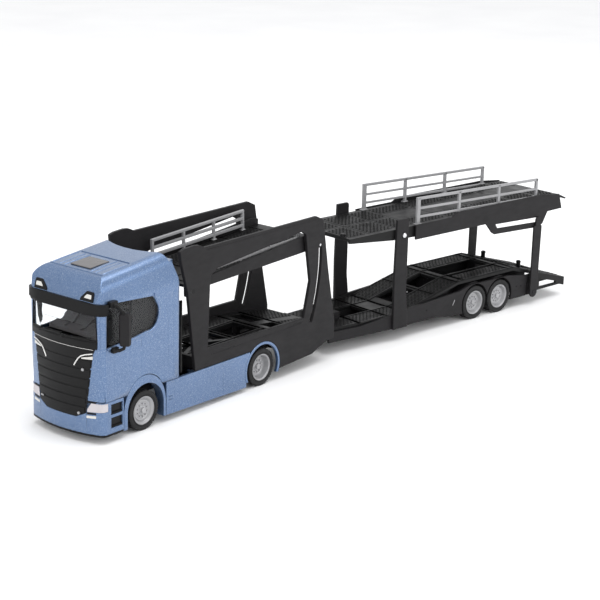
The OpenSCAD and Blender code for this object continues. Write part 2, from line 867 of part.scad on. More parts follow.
module trailer_tongue() {
    tongue_low = 9;
    tongue_top = hitch_z - 0.4;
    swung() color(black) {
        block([-trailer_front - 8, -5, tongue_low], [-pivot_x, 5, tongue_top]);
        translate([-pivot_x, 0, tongue_low]) cylinder(r = 5, h = tongue_top - tongue_low);
        both_sides() block([-trailer_front - 8, 4, tongue_low],
            [-trailer_front - 4, rail_y + rail_t, well_z - floor_t]);
        block([-182, -8, well_z], [-166, 8, well_z + 4.4]);
        translate([-pivot_x, 0, tongue_top]) cylinder(d = hitch_d, h = hitch_t + 0.9);
        translate([-pivot_x, 0, hitch_z + hitch_t + 0.4]) cylinder(r = hitch_d / 2 + 1, h = 0.8);
    }
}

module trailer_chassis() {
    swung() color(black) difference() {
        union() {
            both_sides() block([-ramp_start, rail_y, 7.6],
                [-trailer_front - 8, rail_y + rail_t, well_z - floor_t]);
            for (x = [180, 216, 262, 330])
                block([-x, -rail_y, 8.6], [-x + 3, rail_y, well_z - floor_t]);
            for (x = [hump_front + 4, hump_back]) both_sides()
                block([-x, rail_y, well_z - floor_t], [-x + 3, 14, hump_z - floor_t]);
        }
        for (x = [axle_3, axle_4]) cross_bar(-x, axle_z, axle_r + running, -20, 40);
    }
}

module trailer_fenders() {
    fender_low = web_y + web_t;
    swung() color(black) both_sides() for (x = [axle_3, axle_4]) difference() {
        cross_bar(-x, axle_z, axle_z + 2.4, fender_low, skirt_in - fender_low);
        cross_bar(-x, axle_z, axle_z + 1.4, fender_low - 1, 20);
        block([-x - 20, 0, -10], [-x + 20, 40, 17.2]);
    }
}

module trailer_front_posts() {
    swung() color(black) both_sides() difference() {
        side_plate(skirt_y, 1.7) polygon([[-post_hinge_x + 6.5, trailer_ground],
            [-post_hinge_x + 7, 40], [-post_hinge_x + 6.2, post_h],
            [-post_hinge_x + 6.2 - post_w + 1, post_h], [-post_hinge_x + 6.2 - post_w, post_h - 1],
            [-post_hinge_x + 6.2 - post_w, 30], [-post_hinge_x - 5.4, trailer_ground + 6],
            [-post_hinge_x - 5.4, trailer_ground]]);
        cross_bar(-post_hinge_x, post_hinge_z, pin_r + running, skirt_y - 1, 4);
    }
}

module rear_ramp() {
    swung() color(black) difference() {
        union() {
            both_sides() difference() {
                side_plate(skirt_in, skirt_t) polygon([[-334, 14.4], [-334, 19.8],
                    [-ramp_start, ramp_start_z - 0.4], [-ramp_end, tail_z],
                    [-ramp_end, 6.4], [-ramp_end + 5, 7.8], [-ramp_start, 7.8],
                    [-ramp_start, 14.4]]);
                side_plate(skirt_in - 1, 5) polygon([[-347, 9.4], [-347, 15.2], [-364, 10.6],
                    [-364, 9.4]]);
            }
            side_plate(-skirt_in, 2 * skirt_in) polygon([[-ramp_start, ramp_start_z - floor_t],
                [-ramp_start, ramp_start_z], [-ramp_end, tail_z], [-ramp_end, tail_z - floor_t]]);
            both_sides() side_plate(web_y, web_t) polygon([[-ramp_start, 9], [-ramp_start, 16],
                [-ramp_end + 4, tail_z], [-ramp_end + 4, 9]]);
        }
        block([-ramp_end + 6, -10, 0], [-ramp_start - 4, 10, 40]);
    }
}

prop_in = beam_out + 0.3;
prop_pin_r = 1.2;

module prop_pins() {
    swung() color(black) both_sides() {
        cross_bar(-prop_x, prop_z, prop_pin_r, skirt_y, prop_in + prop_t - skirt_y + 0.2);
        cross_bar(-prop_x, prop_z, 2.4, skirt_y, prop_in - skirt_y - 0.2);
        side_plate(skirt_in, skirt_t) polygon([[-prop_x - 3, 6.4], [-prop_x - 3, 14.4],
            [-prop_x + 3, 14.4], [-prop_x + 3, 6.4]]);
    }
}

/* Upper deck of the trailer */
front_band_y = skirt_y - 0.3 - 1.6;
deck_t = 1.8;
lip = 7.5;
deck_step = post_hinge_x + 12;
bracket_z = 55.9;
slot_front = 300.5;
slot_back = 338.5;
slot_h = 3;

module trailer_upper_deck() {
    swung() color(black) difference() {
        union() {
            block([-deck_step, -front_band_y, deck_z - deck_t], [-deck_front, front_band_y, deck_z]);
            side_plate(-beam_in, 2 * beam_in) polygon([[-deck_step, deck_z - deck_t],
                [-deck_step, deck_z], [-266, deck_z], [-341, deck_z + 1.4],
                [-deck_back, deck_z + 0.2], [-deck_back - lip, deck_z - 3],
                [-deck_back - lip + 0.6, deck_z - 3.8], [-deck_back, deck_z + 0.2 - deck_t],
                [-341, deck_z + 1.4 - deck_t], [-266, deck_z - deck_t]]);
            both_sides() side_plate(front_band_y, 1.6) polygon([[-deck_front, deck_z],
                [-deck_front, deck_z - 2.8], [-209, 62.6], [-deck_step, 62], [-deck_step, deck_z]]);
        }
        cross_bar(-post_hinge_x, post_hinge_z, pin_r + fit_gap, -40, 80);
    }
}

module trailer_beam() {
    color(black) difference() {
        side_plate(beam_in, beam_t) polygon([[-deck_step + 2, 60.6], [-deck_step + 2, deck_z + 0.6],
            [-257.5, deck_z + 0.6], [-263, deck_z + 3], [-341, deck_z + 2.8],
            [-deck_back + 1, deck_z + 0.8], [-beam_tail, 60], [-349, 59.8],
            [-344.6, 52.6], [-340.4, 50.8], [-298, 52.6], [-295.4, 54], [-289.6, 60.4]]);
        side_plate(beam_in - 1, beam_t + 2) polygon([[-slot_front + 2, bracket_z + 3],
            [-slot_front, bracket_z + 0.2], [-slot_back, bracket_z - slot_h / 2],
            [-slot_back, bracket_z + slot_h / 2]]);
        cross_bar(-slot_back, bracket_z, slot_h / 2, beam_in - 1, beam_t + 2);
    }
}

module trailer_beam_left() {
    swung() trailer_beam();
}

module trailer_beam_right() {
    swung() mirror([0, 1, 0]) trailer_beam();
}

module trailer_guard_rail() {
    rail_x = 229;
    rail_length = 111.6;
    color(grey) translate([-rail_x, 22.6, deck_z + 1.4]) guard_rail(rail_length, rail_h - 1.4);
    color(grey) translate([-rail_x, 22.6, deck_z]) rail_foot();
}

// The taller foot of a rail's front post, down to the flat part of the deck.
module rail_foot() {
    block([-rail_bar, -rail_bar / 2, 0], [0, rail_bar / 2, 1.4]);
}

module guard_rail_left() {
    swung() trailer_guard_rail();
}

module guard_rail_right() {
    swung() mirror([0, 1, 0]) trailer_guard_rail();
}

module trailer_deck_pins() {
    swung() color([0.75, 0.75, 0.77]) both_sides() {
        cross_bar(-post_hinge_x, post_hinge_z, pin_r, front_band_y, skirt_y + 2 - front_band_y);
        cross_bar(-post_hinge_x, post_hinge_z, pin_r + 0.6, skirt_y + 2, 0.5);
    }
}

// The left rear prop, from its foot pin to the neck and boss beside the beam's slot.
module prop() {
    neck_w = 4.4;
    shoulder_z = bracket_z - 3.4;
    color(black) difference() {
        union() {
            side_plate(prop_in, prop_t) polygon([[-prop_x - prop_w / 2 + 0.4, prop_z],
                [-slot_back - prop_w / 2, shoulder_z - 0.8],
                [-slot_back - prop_w / 2 + 0.8, shoulder_z], [-slot_back - neck_w / 2, shoulder_z],
                [-slot_back - neck_w / 2, bracket_z], [-slot_back + neck_w / 2, bracket_z],
                [-slot_back + neck_w / 2, shoulder_z], [-slot_back + prop_w / 2, shoulder_z],
                [-prop_x + prop_w / 2 - 0.4, prop_z]]);
            cross_bar(-prop_x, prop_z, prop_w / 2 - 0.4, prop_in, prop_t);
            cross_bar(-slot_back, bracket_z, neck_w / 2, prop_in, prop_t);
        }
        cross_bar(-prop_x, prop_z, prop_pin_r + running, prop_in - 1, prop_t + 2);
    }
}

module prop_left() {
    swung() prop();
}

module prop_right() {
    swung() mirror([0, 1, 0]) prop();
}

cab_shell();
front_bumper();
cab_glazing();
cab_interior();
sun_visor();
grille();
headlights();
marker_lamps();
roof_hatch();
mirror_left();
mirror_right();
front_arches();
truck_chassis();
side_skirts();
rear_arch_trims();
side_frame_left();
side_frame_right();
truck_lower_deck();
frame_crossbeams();
truck_upper_deck();
truck_deck_band_left();
truck_deck_band_right();
truck_deck_rails();
truck_deck_pins();
front_tyre_left();
front_tyre_right();
front_rims();
front_axle();
rear_tyre_left();
rear_tyre_right();
rear_rims();
rear_axle();
trailer_skirt_left();
trailer_skirt_right();
trailer_well_floor();
trailer_hump_floor();
trailer_tongue();
trailer_chassis();
trailer_fenders();
trailer_front_posts();
rear_ramp();
prop_pins();
trailer_upper_deck();
trailer_beam_left();
trailer_beam_right();
guard_rail_left();
guard_rail_right();
trailer_deck_pins();
prop_left();
prop_right();
bogie_front_tyre_left();
bogie_front_tyre_right();
bogie_front_rims();
bogie_front_axle();
bogie_rear_tyre_left();
bogie_rear_tyre_right();
bogie_rear_rims();
bogie_rear_axle();
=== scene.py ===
"""Looks of a 1:50 toy car transporter: a truck and its low trailer, each with a hinged upper deck.

Inside the classes lengths are millimetres in a sub-assembly's own straight frame, X forward,
Y to the left and Z up, with stations measured from the truck's front axle.
"""

import json
import logging
from collections.abc import Callable, Iterable, Iterator, Sequence
from contextlib import contextmanager
from dataclasses import dataclass
from enum import Enum
from math import atan2, cos, pi, radians, sin, sqrt

import bmesh
import bpy
from mathutils import Matrix, Vector


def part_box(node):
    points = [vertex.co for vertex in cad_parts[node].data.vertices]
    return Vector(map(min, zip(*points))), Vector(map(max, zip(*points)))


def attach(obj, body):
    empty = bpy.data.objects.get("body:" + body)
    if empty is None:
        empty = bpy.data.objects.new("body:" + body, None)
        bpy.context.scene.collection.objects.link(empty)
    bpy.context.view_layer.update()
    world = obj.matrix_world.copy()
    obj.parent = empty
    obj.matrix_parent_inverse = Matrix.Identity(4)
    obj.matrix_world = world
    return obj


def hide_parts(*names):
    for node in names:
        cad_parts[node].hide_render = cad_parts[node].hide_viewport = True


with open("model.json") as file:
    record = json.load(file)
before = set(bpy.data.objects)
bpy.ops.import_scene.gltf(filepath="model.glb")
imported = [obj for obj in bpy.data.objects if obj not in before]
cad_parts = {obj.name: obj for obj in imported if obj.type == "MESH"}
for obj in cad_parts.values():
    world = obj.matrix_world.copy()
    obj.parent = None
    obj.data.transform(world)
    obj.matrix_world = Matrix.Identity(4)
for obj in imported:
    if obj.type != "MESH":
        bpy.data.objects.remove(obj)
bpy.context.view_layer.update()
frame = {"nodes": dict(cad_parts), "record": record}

MM = 0.001
CAB_HALF = 26.0
BOGIE = (-284.3, -307.4)
Point = tuple[float, float, float]
Flat = tuple[float, float]
Colour = tuple[float, float, float]
log = logging.getLogger("transporter")


class Axis(Enum):
    """The direction in which a round or extruded shape runs."""

    X = (1.0, 0.0, 0.0)
    Y = (0.0, 1.0, 0.0)
    Z = (0.0, 0.0, 1.0)

    @property
    def turn(self) -> Matrix:
        """Turns a shape made along Z onto this axis."""
        return Vector((0, 0, 1)).rotation_difference(Vector(self.value)).to_matrix().to_4x4()

    def lift(self, point: Flat, along: float) -> Vector:
        """Places a flat point in the plane across this axis, at the distance along it."""
        u, v = point
        return Vector({Axis.X: (along, u, v), Axis.Y: (u, along, v), Axis.Z: (u, v, along)}[self])


class Slot(Enum):
    """The record's material slots."""

    PAINT = "blue_paint"
    CLEAR = "clear_plastic"
    INTERIOR = "dark_interior"
    BLACK = "black_plastic"
    LENS = "lamp_lens"
    SMOKED = "smoked_hatch"
    CHARCOAL = "charcoal_plastic"
    GREY = "grey_plastic"
    RIM = "rim_plastic"
    STEEL = "steel_pin"
    TYRE = "tyre"


# ---------------------------------------------------------------- finishes


class Graph:
    """A material's node tree with its Principled shader ready."""

    def __init__(self, name: str) -> None:
        """Starts an empty tree.

        Args:
            name: the material's name.
        """
        self.material = bpy.data.materials.new(name)
        self.material.use_nodes = True
        self.tree = self.material.node_tree
        self.tree.nodes.clear()
        self.shader = self.add("ShaderNodeBsdfPrincipled")
        output = self.add("ShaderNodeOutputMaterial")
        self.join(self.shader, "BSDF", output, "Surface")
        self.place = self.add("ShaderNodeTexCoord")

    def add(self, kind: str, **sockets: float | tuple) -> bpy.types.Node:
        """Adds a node and sets its sockets.

        Args:
            kind: the node's type.
            sockets: values by socket name, with underscores for spaces.

        Returns:
            The new node.
        """
        node = self.tree.nodes.new(kind)
        for name, value in sockets.items():
            node.inputs[name.replace("_", " ")].default_value = value
        return node

    def join(self, start: bpy.types.Node, out: str | int, end: bpy.types.Node, into: str | int) -> None:
        """Links one node's output to another's input."""
        self.tree.links.new(start.outputs[out], end.inputs[into])

    def noise(self, scale: float, detail: float = 2.0, stretch: Point = (1, 1, 1)) -> bpy.types.Node:
        """Adds noise on the piece's own coordinates.

        Args:
            scale: features per metre.
            detail: octaves of finer noise.
            stretch: scale along each axis.

        Returns:
            The noise node.
        """
        mapping = self.add("ShaderNodeMapping", Scale=stretch)
        texture = self.add("ShaderNodeTexNoise", Scale=scale, Detail=detail)
        self.join(self.place, "Object", mapping, "Vector")
        self.join(mapping, "Vector", texture, "Vector")
        return texture

    def ramp(self, source: bpy.types.Node, low: Colour, high: Colour, start: float,
             end: float) -> bpy.types.Node:
        """Adds a two-stop ramp from low to high over source's range start to end.

        Args:
            source: the node whose first output drives the ramp.
            low: colour below start.
            high: colour above end.
            start: position of the first stop.
            end: position of the second stop.

        Returns:
            The ramp node.
        """
        node = self.add("ShaderNodeValToRGB")
        stops = node.color_ramp.elements
        stops[0].position, stops[1].position = start, end
        stops[0].color, stops[1].color = (*low, 1), (*high, 1)
        self.join(source, 0, node, "Fac")
        return node

    def spread(self, source: bpy.types.Node, low: float, high: float) -> bpy.types.Node:
        """Adds a range that carries source's 0.3 to 0.7 onto low to high."""
        node = self.add("ShaderNodeMapRange", From_Min=0.3, From_Max=0.7, To_Min=low, To_Max=high)
        self.join(source, 0, node, "Value")
        return node

    def bump(self, source: bpy.types.Node, depth: float,
             under: bpy.types.Node | None = None) -> bpy.types.Node:
        """Adds bump of the given depth in millimetres, over another bump if one is named."""
        node = self.add("ShaderNodeBump", Strength=1.0, Distance=depth * MM)
        self.join(source, 0, node, "Height")
        if under is not None:
            self.join(under, "Normal", node, "Normal")
        return node


@dataclass(frozen=True)
class Finish:
    """A moulded plastic surface: a mottled colour with a fine moulding grain."""

    name: str
    colour: Colour
    roughness: float = 0.5
    spread: float = 0.06
    mottle: float = 0.12
    grain: float = 2600.0
    grain_depth: float = 0.018
    metallic: float = 0.0
    specular: float = 0.5
    coat: float = 0.0

    def tint(self, share: float) -> Colour:
        """The colour made lighter or darker by a share."""
        return tuple(min(1.0, c * share) for c in self.colour)

    def build(self) -> bpy.types.Material:
        """Returns the material, made at its first use."""
        return bpy.data.materials.get(self.name) or self.make()

    def make(self) -> bpy.types.Material:
        """Makes the material's tree.

        Returns:
            The material.
        """
        g = Graph(self.name)
        cloud = g.noise(55.0, 4.0)
        g.join(g.ramp(cloud, self.tint(1 - self.mottle), self.tint(1 + self.mottle), 0.3, 0.7), "Color",
               g.shader, "Base Color")
        smear = g.noise(160.0, 3.0, (1.0, 1.0, 2.4))
        g.join(g.spread(smear, self.roughness - self.spread, self.roughness + self.spread), 0,
               g.shader, "Roughness")
        self.relief(g)
        g.shader.inputs["Metallic"].default_value = self.metallic
        g.shader.inputs["Specular IOR Level"].default_value = self.specular
        g.shader.inputs["Coat Weight"].default_value = self.coat
        g.shader.inputs["Coat Roughness"].default_value = 0.08
        return g.material

    def relief(self, g: Graph) -> None:
        """Adds the surface's own relief to the tree."""
        coarse = g.bump(g.noise(self.grain / 4, 2.0), self.grain_depth)
        fine = g.bump(g.noise(self.grain, 3.0), self.grain_depth, coarse)
        g.join(fine, "Normal", g.shader, "Normal")


@dataclass(frozen=True)
class MetallicPaint(Finish):
    """Sprayed metallic lacquer: fine bright flakes, soft clouds and a slight orange peel."""

    flake: Colour = (0.6, 0.7, 0.85)

    def make(self) -> bpy.types.Material:
        """Makes the lacquer's tree.

        Returns:
            The material.
        """
        g = Graph(self.name)
        cloud = g.ramp(g.noise(38.0, 3.0), self.tint(1 - self.mottle), self.tint(1 + self.mottle), 0.3, 0.7)
        flakes = g.add("ShaderNodeTexVoronoi", Scale=self.grain)
        g.join(g.place, "Object", flakes, "Vector")
        split = g.add("ShaderNodeSeparateColor")
        g.join(flakes, "Color", split, "Color")
        chosen = g.add("ShaderNodeMapRange", From_Min=0.72, From_Max=1.0, To_Min=0.0, To_Max=0.34)
        g.join(split, "Red", chosen, "Value")
        mix = g.add("ShaderNodeMix")
        mix.data_type = "RGBA"
        mix.inputs[7].default_value = (*self.flake, 1)
        g.join(chosen, 0, mix, 0)
        g.join(cloud, "Color", mix, 6)
        g.tree.links.new(mix.outputs[2], g.shader.inputs["Base Color"])
        g.join(g.spread(g.noise(120.0, 3.0), self.roughness - self.spread, self.roughness + self.spread), 0,
               g.shader, "Roughness")
        peel = g.bump(g.noise(420.0, 1.0), self.grain_depth)
        g.join(peel, "Normal", g.shader, "Normal")
        g.shader.inputs["Metallic"].default_value = self.metallic
        g.shader.inputs["Coat Weight"].default_value = self.coat
        g.shader.inputs["Coat Roughness"].default_value = 0.12
        return g.material


@dataclass(frozen=True)
class ClearPlastic(Finish):
    """Clear or smoked moulding with a faint ripple."""

    transmission: float = 1.0

    def make(self) -> bpy.types.Material:
        """Makes the clear moulding's tree.

        Returns:
            The material.
        """
        g = Graph(self.name)
        g.join(g.ramp(g.noise(90.0), self.tint(1 - self.mottle), self.tint(1.0), 0.3, 0.7), "Color",
               g.shader, "Base Color")
        g.join(g.spread(g.noise(200.0), self.roughness, self.roughness + self.spread), 0,
               g.shader, "Roughness")
        g.join(g.bump(g.noise(260.0, 1.0), self.grain_depth), "Normal", g.shader, "Normal")
        g.shader.inputs["Transmission Weight"].default_value = self.transmission
        g.shader.inputs["IOR"].default_value = 1.18
        return g.material


PAINT = MetallicPaint("metallic_blue", (0.090, 0.156, 0.290), 0.30, 0.02, 0.05, 5200.0, 0.0006,
                      metallic=0.70, coat=0.55)
CHARCOAL = Finish("charcoal_moulding", (0.0135, 0.0128, 0.0138), 0.50, 0.07, 0.12, 2400.0, 0.010,
                  specular=0.15)
BLACK = Finish("satin_black_moulding", (0.0075, 0.0075, 0.0078), 0.38, 0.07, 0.14, 2200.0, 0.008,
               specular=0.14)
TREAD = Finish("worn_black_moulding", (0.0105, 0.0102, 0.0105), 0.42, 0.10, 0.25, 1500.0, 0.014,
               specular=0.22)
INTERIOR = Finish("interior_moulding", (0.0045, 0.0045, 0.0050), 0.6, 0.05, 0.15, 1800.0, 0.03, specular=0.2)
CURTAIN = Finish("curtain_panel", (0.022, 0.021, 0.022), 0.55, 0.05, 0.12, 1800.0, 0.006, specular=0.2)
DASH = Finish("dash_moulding", (0.135, 0.130, 0.134), 0.62, 0.05, 0.10, 1700.0, 0.012, specular=0.25)
GREY = Finish("grey_moulding", (0.265, 0.265, 0.272), 0.44, 0.06, 0.08, 2600.0, 0.010, specular=0.4)
RIM = Finish("silver_grey_rim", (0.34, 0.34, 0.35), 0.36, 0.06, 0.08, 3000.0, 0.008, metallic=0.35)
STEEL = Finish("steel_rivet", (0.62, 0.62, 0.64), 0.28, 0.08, 0.05, 3600.0, 0.008, metallic=1.0)
CHROME = Finish("bright_trim", (0.78, 0.77, 0.75), 0.24, 0.05, 0.04, 3000.0, 0.004, metallic=0.75)
RUBBER = Finish("tyre_rubber", (0.0125, 0.0125, 0.0130), 0.68, 0.08, 0.20, 1700.0, 0.030, specular=0.3)
LENS = ClearPlastic("pale_lens", (0.60, 0.57, 0.59), 0.16, 0.10, 0.08, grain_depth=0.06, transmission=0.15)
FOG = Finish("white_lamp", (0.58, 0.57, 0.54), 0.3, 0.05, 0.06, 1500.0, 0.02)
CLEAR = ClearPlastic("clear_window", (0.93, 0.95, 0.96), 0.02, 0.03, 0.01, grain_depth=0.0005,
                     transmission=1.0, specular=0.1)
SMOKED = Finish("smoked_cover", (0.098, 0.094, 0.096), 0.30, 0.05, 0.10, 2600.0, 0.008)

FINISH_OF = {Slot.PAINT: PAINT, Slot.CLEAR: CLEAR, Slot.INTERIOR: INTERIOR, Slot.BLACK: BLACK,
             Slot.LENS: LENS, Slot.SMOKED: SMOKED, Slot.CHARCOAL: CHARCOAL, Slot.GREY: GREY,
             Slot.RIM: RIM, Slot.STEEL: STEEL, Slot.TYRE: RUBBER}


# ---------------------------------------------------------------- frames and shapes


@dataclass(frozen=True)
class Local:
    """A straight frame in millimetres and its place in the scene."""

    origin: Vector
    heading: float = 0.0
    tilt: float = 0.0

    @property
    def matrix(self) -> Matrix:
        """Takes a point of this frame, in millimetres, to its place in the scene."""
        return (Matrix.Translation(self.origin) @ Matrix.Rotation(self.heading, 4, "Z")
                @ Matrix.Rotation(self.tilt, 4, "Y") @ Matrix.Scale(MM, 4))


def centre_of(node: str) -> Vector:
    """Returns the middle of a node's box, in metres."""
    low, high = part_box(node)
    return (low + high) / 2


def axle_frame(front: str, rear: str, front_station: float) -> Local:
    """Finds a vehicle's own frame from its two axles.

    Args:
        front: the node of the front axle.
        rear: the node of the rear axle.
        front_station: the front axle's station, in millimetres.

    Returns:
        The frame, with its origin on the ground at station 0.
    """
    ahead, behind = centre_of(front), centre_of(rear)
    way = ahead - behind
    way.z = 0
    way.normalize()
    origin = ahead - way * front_station * MM
    origin.z = 0
    return Local(origin, atan2(way.y, way.x))


def section(x: float, ys: Flat, zs: Flat) -> list[Point]:
    """Returns the four corners of an upright section at station x."""
    return [(x, ys[0], zs[0]), (x, ys[1], zs[0]), (x, ys[1], zs[1]), (x, ys[0], zs[1])]


class Shape:
    """A mesh in progress, in the millimetres of one frame."""

    def __init__(self, name: str, local: Local) -> None:
        """Starts an empty mesh.

        Args:
            name: the finished piece's name.
            local: the frame that it is drawn in.
        """
        self.name = name
        self.local = local
        self.bm = bmesh.new()

    def soften(self, verts: Iterable[bmesh.types.BMVert], width: float, segments: int = 2,
               angle: float = 30.0) -> None:
        """Rounds the sharp edges among verts.

        Args:
            verts: the corners whose edges are rounded.
            width: the round's width.
            segments: steps across the round.
            angle: edges flatter than this, in degrees, stay.
        """
        if width <= 0:
            return
        known = set(verts)
        edges = {e for v in known for e in v.link_edges if e.other_vert(v) in known}
        sharp = [e for e in edges if e.is_manifold and e.calc_face_angle(0.0) > radians(angle)]
        bmesh.ops.bevel(self.bm, geom=sharp, offset=width, offset_type="OFFSET", segments=segments,
                        profile=0.5, affect="EDGES", material=-1, clamp_overlap=True)

    def block(self, low: Point, high: Point, soft: float = 0.2) -> list[bmesh.types.BMVert]:
        """Adds a block between two corners with softened edges.

        Args:
            low: its lowest corner.
            high: its highest corner.
            soft: width of the rounded edges.

        Returns:
            The block's corners before they were softened.
        """
        made = bmesh.ops.create_cube(self.bm, size=1.0)["verts"]
        a, b = Vector(low), Vector(high)
        bmesh.ops.scale(self.bm, vec=b - a, verts=made)
        bmesh.ops.translate(self.bm, vec=(a + b) / 2, verts=made)
        self.soften(made, soft)
        return made

    def plate(self, outline: Sequence[Flat], axis: Axis, start: float, thick: float,
              soft: float = 0.15) -> None:
        """Adds a flat plate with a drawn outline.

        Args:
            outline: corners in the plane across axis, in order.
            axis: the direction of the plate's thickness.
            start: where its first face lies on that axis.
            thick: its thickness.
            soft: width of the rounded edges.
        """
        verts = [self.bm.verts.new(axis.lift(p, start)) for p in outline]
        face = self.bm.faces.new(verts)
        grown = bmesh.ops.extrude_face_region(self.bm, geom=[face])["geom"]
        moved = [v for v in grown if isinstance(v, bmesh.types.BMVert)]
        bmesh.ops.translate(self.bm, vec=Vector(axis.value) * thick, verts=moved)
        every = verts + moved
        faces = {f for v in every for f in v.link_faces}
        bmesh.ops.recalc_face_normals(self.bm, faces=list(faces))
        self.soften(every, soft)

    def lathe(self, profile: Sequence[Flat], centre: Point, axis: Axis, steps: int = 48,
              mirrored: bool = False) -> None:
        """Spins a profile of (radius, height) points round an axis.

        Args:
            profile: the profile, from one end to the other; ends on the axis close the shape.
            centre: the point at height 0.
            axis: the axis that heights run along.
            steps: steps round the turn.
            mirrored: whether heights run backwards along the axis.
        """
        turn = Matrix.Translation(centre) @ axis.turn
        if mirrored:
            flip = Matrix.Rotation(pi, 4, "Z" if axis is Axis.X else "X")
            turn = Matrix.Translation(centre) @ flip @ axis.turn
        verts = [self.bm.verts.new(turn @ Vector((r, 0, h))) for r, h in profile]
        edges = [self.bm.edges.new(pair) for pair in zip(verts, verts[1:])]
        way = (turn.to_3x3() @ Vector((0, 0, 1))).normalized()
        done = bmesh.ops.spin(self.bm, geom=verts + edges, cent=centre, axis=way, dvec=(0, 0, 0),
                              angle=2 * pi, steps=steps, use_merge=True, use_duplicate=False)
        last = {v for v in done["geom_last"] if isinstance(v, bmesh.types.BMVert)}
        every = set(verts) | last
        grow = list(every)
        while grow:
            grow = [w for v in grow for e in v.link_edges for w in e.verts if w not in every]
            every.update(grow)
        bmesh.ops.remove_doubles(self.bm, verts=[v for v in every if v.is_valid], dist=0.0004)
        faces = {f for v in every if v.is_valid for f in v.link_faces}
        bmesh.ops.recalc_face_normals(self.bm, faces=list(faces))

    def drum(self, centre: Point, axis: Axis, radius: float, length: float, soft: float = 0.15,
             sides: int = 24) -> None:
        """Adds a round bar with softened rims, its middle at centre.

        Args:
            centre: its middle.
            axis: its axis.
            radius: its radius.
            length: its length.
            soft: width of the rounded rims.
            sides: flats round it.
        """
        turn = Matrix.Translation(centre) @ axis.turn
        made = bmesh.ops.create_cone(self.bm, cap_ends=True, segments=sides, radius1=radius, radius2=radius,
                                     depth=length, matrix=turn)["verts"]
        self.soften(made, soft, angle=60.0)

    def wire(self, path: Sequence[Point], radius: float, sides: int = 8) -> None:
        """Sweeps a round section along a path.

        Args:
            path: the points of its centre line.
            radius: the section's radius.
            sides: flats round the section.
        """
        points = [Vector(p) for p in path]
        ways = [(points[min(i + 1, len(points) - 1)] - points[max(i - 1, 0)]).normalized()
                for i in range(len(points))]
        turn = Vector((0, 0, 1)).rotation_difference(ways[0]).to_matrix().to_4x4()
        ring = bmesh.ops.create_circle(self.bm, cap_ends=False, segments=sides, radius=radius,
                                       matrix=Matrix.Translation(points[0]) @ turn)["verts"]
        every = list(ring)
        edges = list({e for v in ring for e in v.link_edges})
        for i in range(1, len(points)):
            grown = bmesh.ops.extrude_edge_only(self.bm, edges=edges)["geom"]
            ring = [v for v in grown if isinstance(v, bmesh.types.BMVert)]
            edges = [e for e in grown if isinstance(e, bmesh.types.BMEdge)]
            bend = ways[i - 1].rotation_difference(ways[i]).to_matrix().to_4x4()
            move = Matrix.Translation(points[i]) @ bend @ Matrix.Translation(-points[i - 1])
            bmesh.ops.transform(self.bm, matrix=move, verts=ring)
            every += ring
        loops = [e for e in {e for v in every for e in v.link_edges} if e.is_boundary]
        bmesh.ops.holes_fill(self.bm, edges=loops, sides=sides)
        faces = {f for v in every for f in v.link_faces}
        bmesh.ops.recalc_face_normals(self.bm, faces=list(faces))

    def loft(self, sections: Sequence[Sequence[Point]]) -> None:
        """Carries a closed section through a row of places and closes both ends.

        Args:
            sections: the section's corners at each place, in the same order every time.
        """
        ring = [self.bm.verts.new(p) for p in sections[0]]
        edges = [self.bm.edges.new(pair) for pair in zip(ring, ring[1:] + ring[:1])]
        every = list(ring)
        for section in sections[1:]:
            grown = bmesh.ops.extrude_edge_only(self.bm, edges=edges)["geom"]
            fresh = {v for v in grown if isinstance(v, bmesh.types.BMVert)}
            follow = [next(e.other_vert(v) for e in v.link_edges if e.other_vert(v) in fresh) for v in ring]
            for vert, place in zip(follow, section):
                vert.co = Vector(place)
            ring = follow
            edges = [e for e in grown if isinstance(e, bmesh.types.BMEdge)]
            every += ring
        loops = [e for e in {e for v in every for e in v.link_edges} if e.is_boundary]
        bmesh.ops.holes_fill(self.bm, edges=loops, sides=len(ring))
        bmesh.ops.recalc_face_normals(self.bm, faces=list({f for v in every for f in v.link_faces}))

    def bar(self, low: Point, high: Point, turn: float = 0.0) -> None:
        """Adds a small hard-edged bar between two corners, turned about its middle.

        Args:
            low: its lowest corner before it is turned.
            high: its highest corner before it is turned.
            turn: its turn about Z, in degrees.
        """
        a, b = Vector(low), Vector(high)
        size = Matrix.Diagonal((b - a).to_4d())
        place = Matrix.Translation((a + b) / 2) @ Matrix.Rotation(radians(turn), 4, "Z")
        size[3][3] = 1.0
        bmesh.ops.create_cube(self.bm, size=1.0, matrix=place @ size)

    def mirror_over(self) -> None:
        """Adds the mirror image of everything drawn so far on the other side."""
        whole = self.bm.verts[:] + self.bm.edges[:] + self.bm.faces[:]
        copied = bmesh.ops.duplicate(self.bm, geom=whole)["geom"]
        verts = [v for v in copied if isinstance(v, bmesh.types.BMVert)]
        bmesh.ops.scale(self.bm, vec=(1, -1, 1), verts=verts)
        bmesh.ops.reverse_faces(self.bm, faces=[f for f in copied if isinstance(f, bmesh.types.BMFace)])

    def as_object(self) -> bpy.types.Object:
        """Returns the shape as a scene object at the origin, with its place in its mesh."""
        self.bm.transform(self.local.matrix)
        mesh = bpy.data.meshes.new(self.name)
        self.bm.to_mesh(mesh)
        self.bm.free()
        made = bpy.data.objects.new(self.name, mesh)
        bpy.context.scene.collection.objects.link(made)
        return made

    def finish(self, body: str, slot: Slot, finish: Finish | None = None, stands_for: Sequence[str] = (),
               smooth: float = 40.0) -> bpy.types.Object:
        """Makes the piece, dresses it and lets it ride on a body.

        Args:
            body: the body that it moves with.
            slot: the record's material slot.
            finish: its finish, or the slot's own when left out.
            stands_for: the nodes that it replaces.
            smooth: edges flatter than this, in degrees, are shaded smooth.

        Returns:
            The finished object.
        """
        return settle(self.as_object(), body, slot, finish, stands_for, smooth)


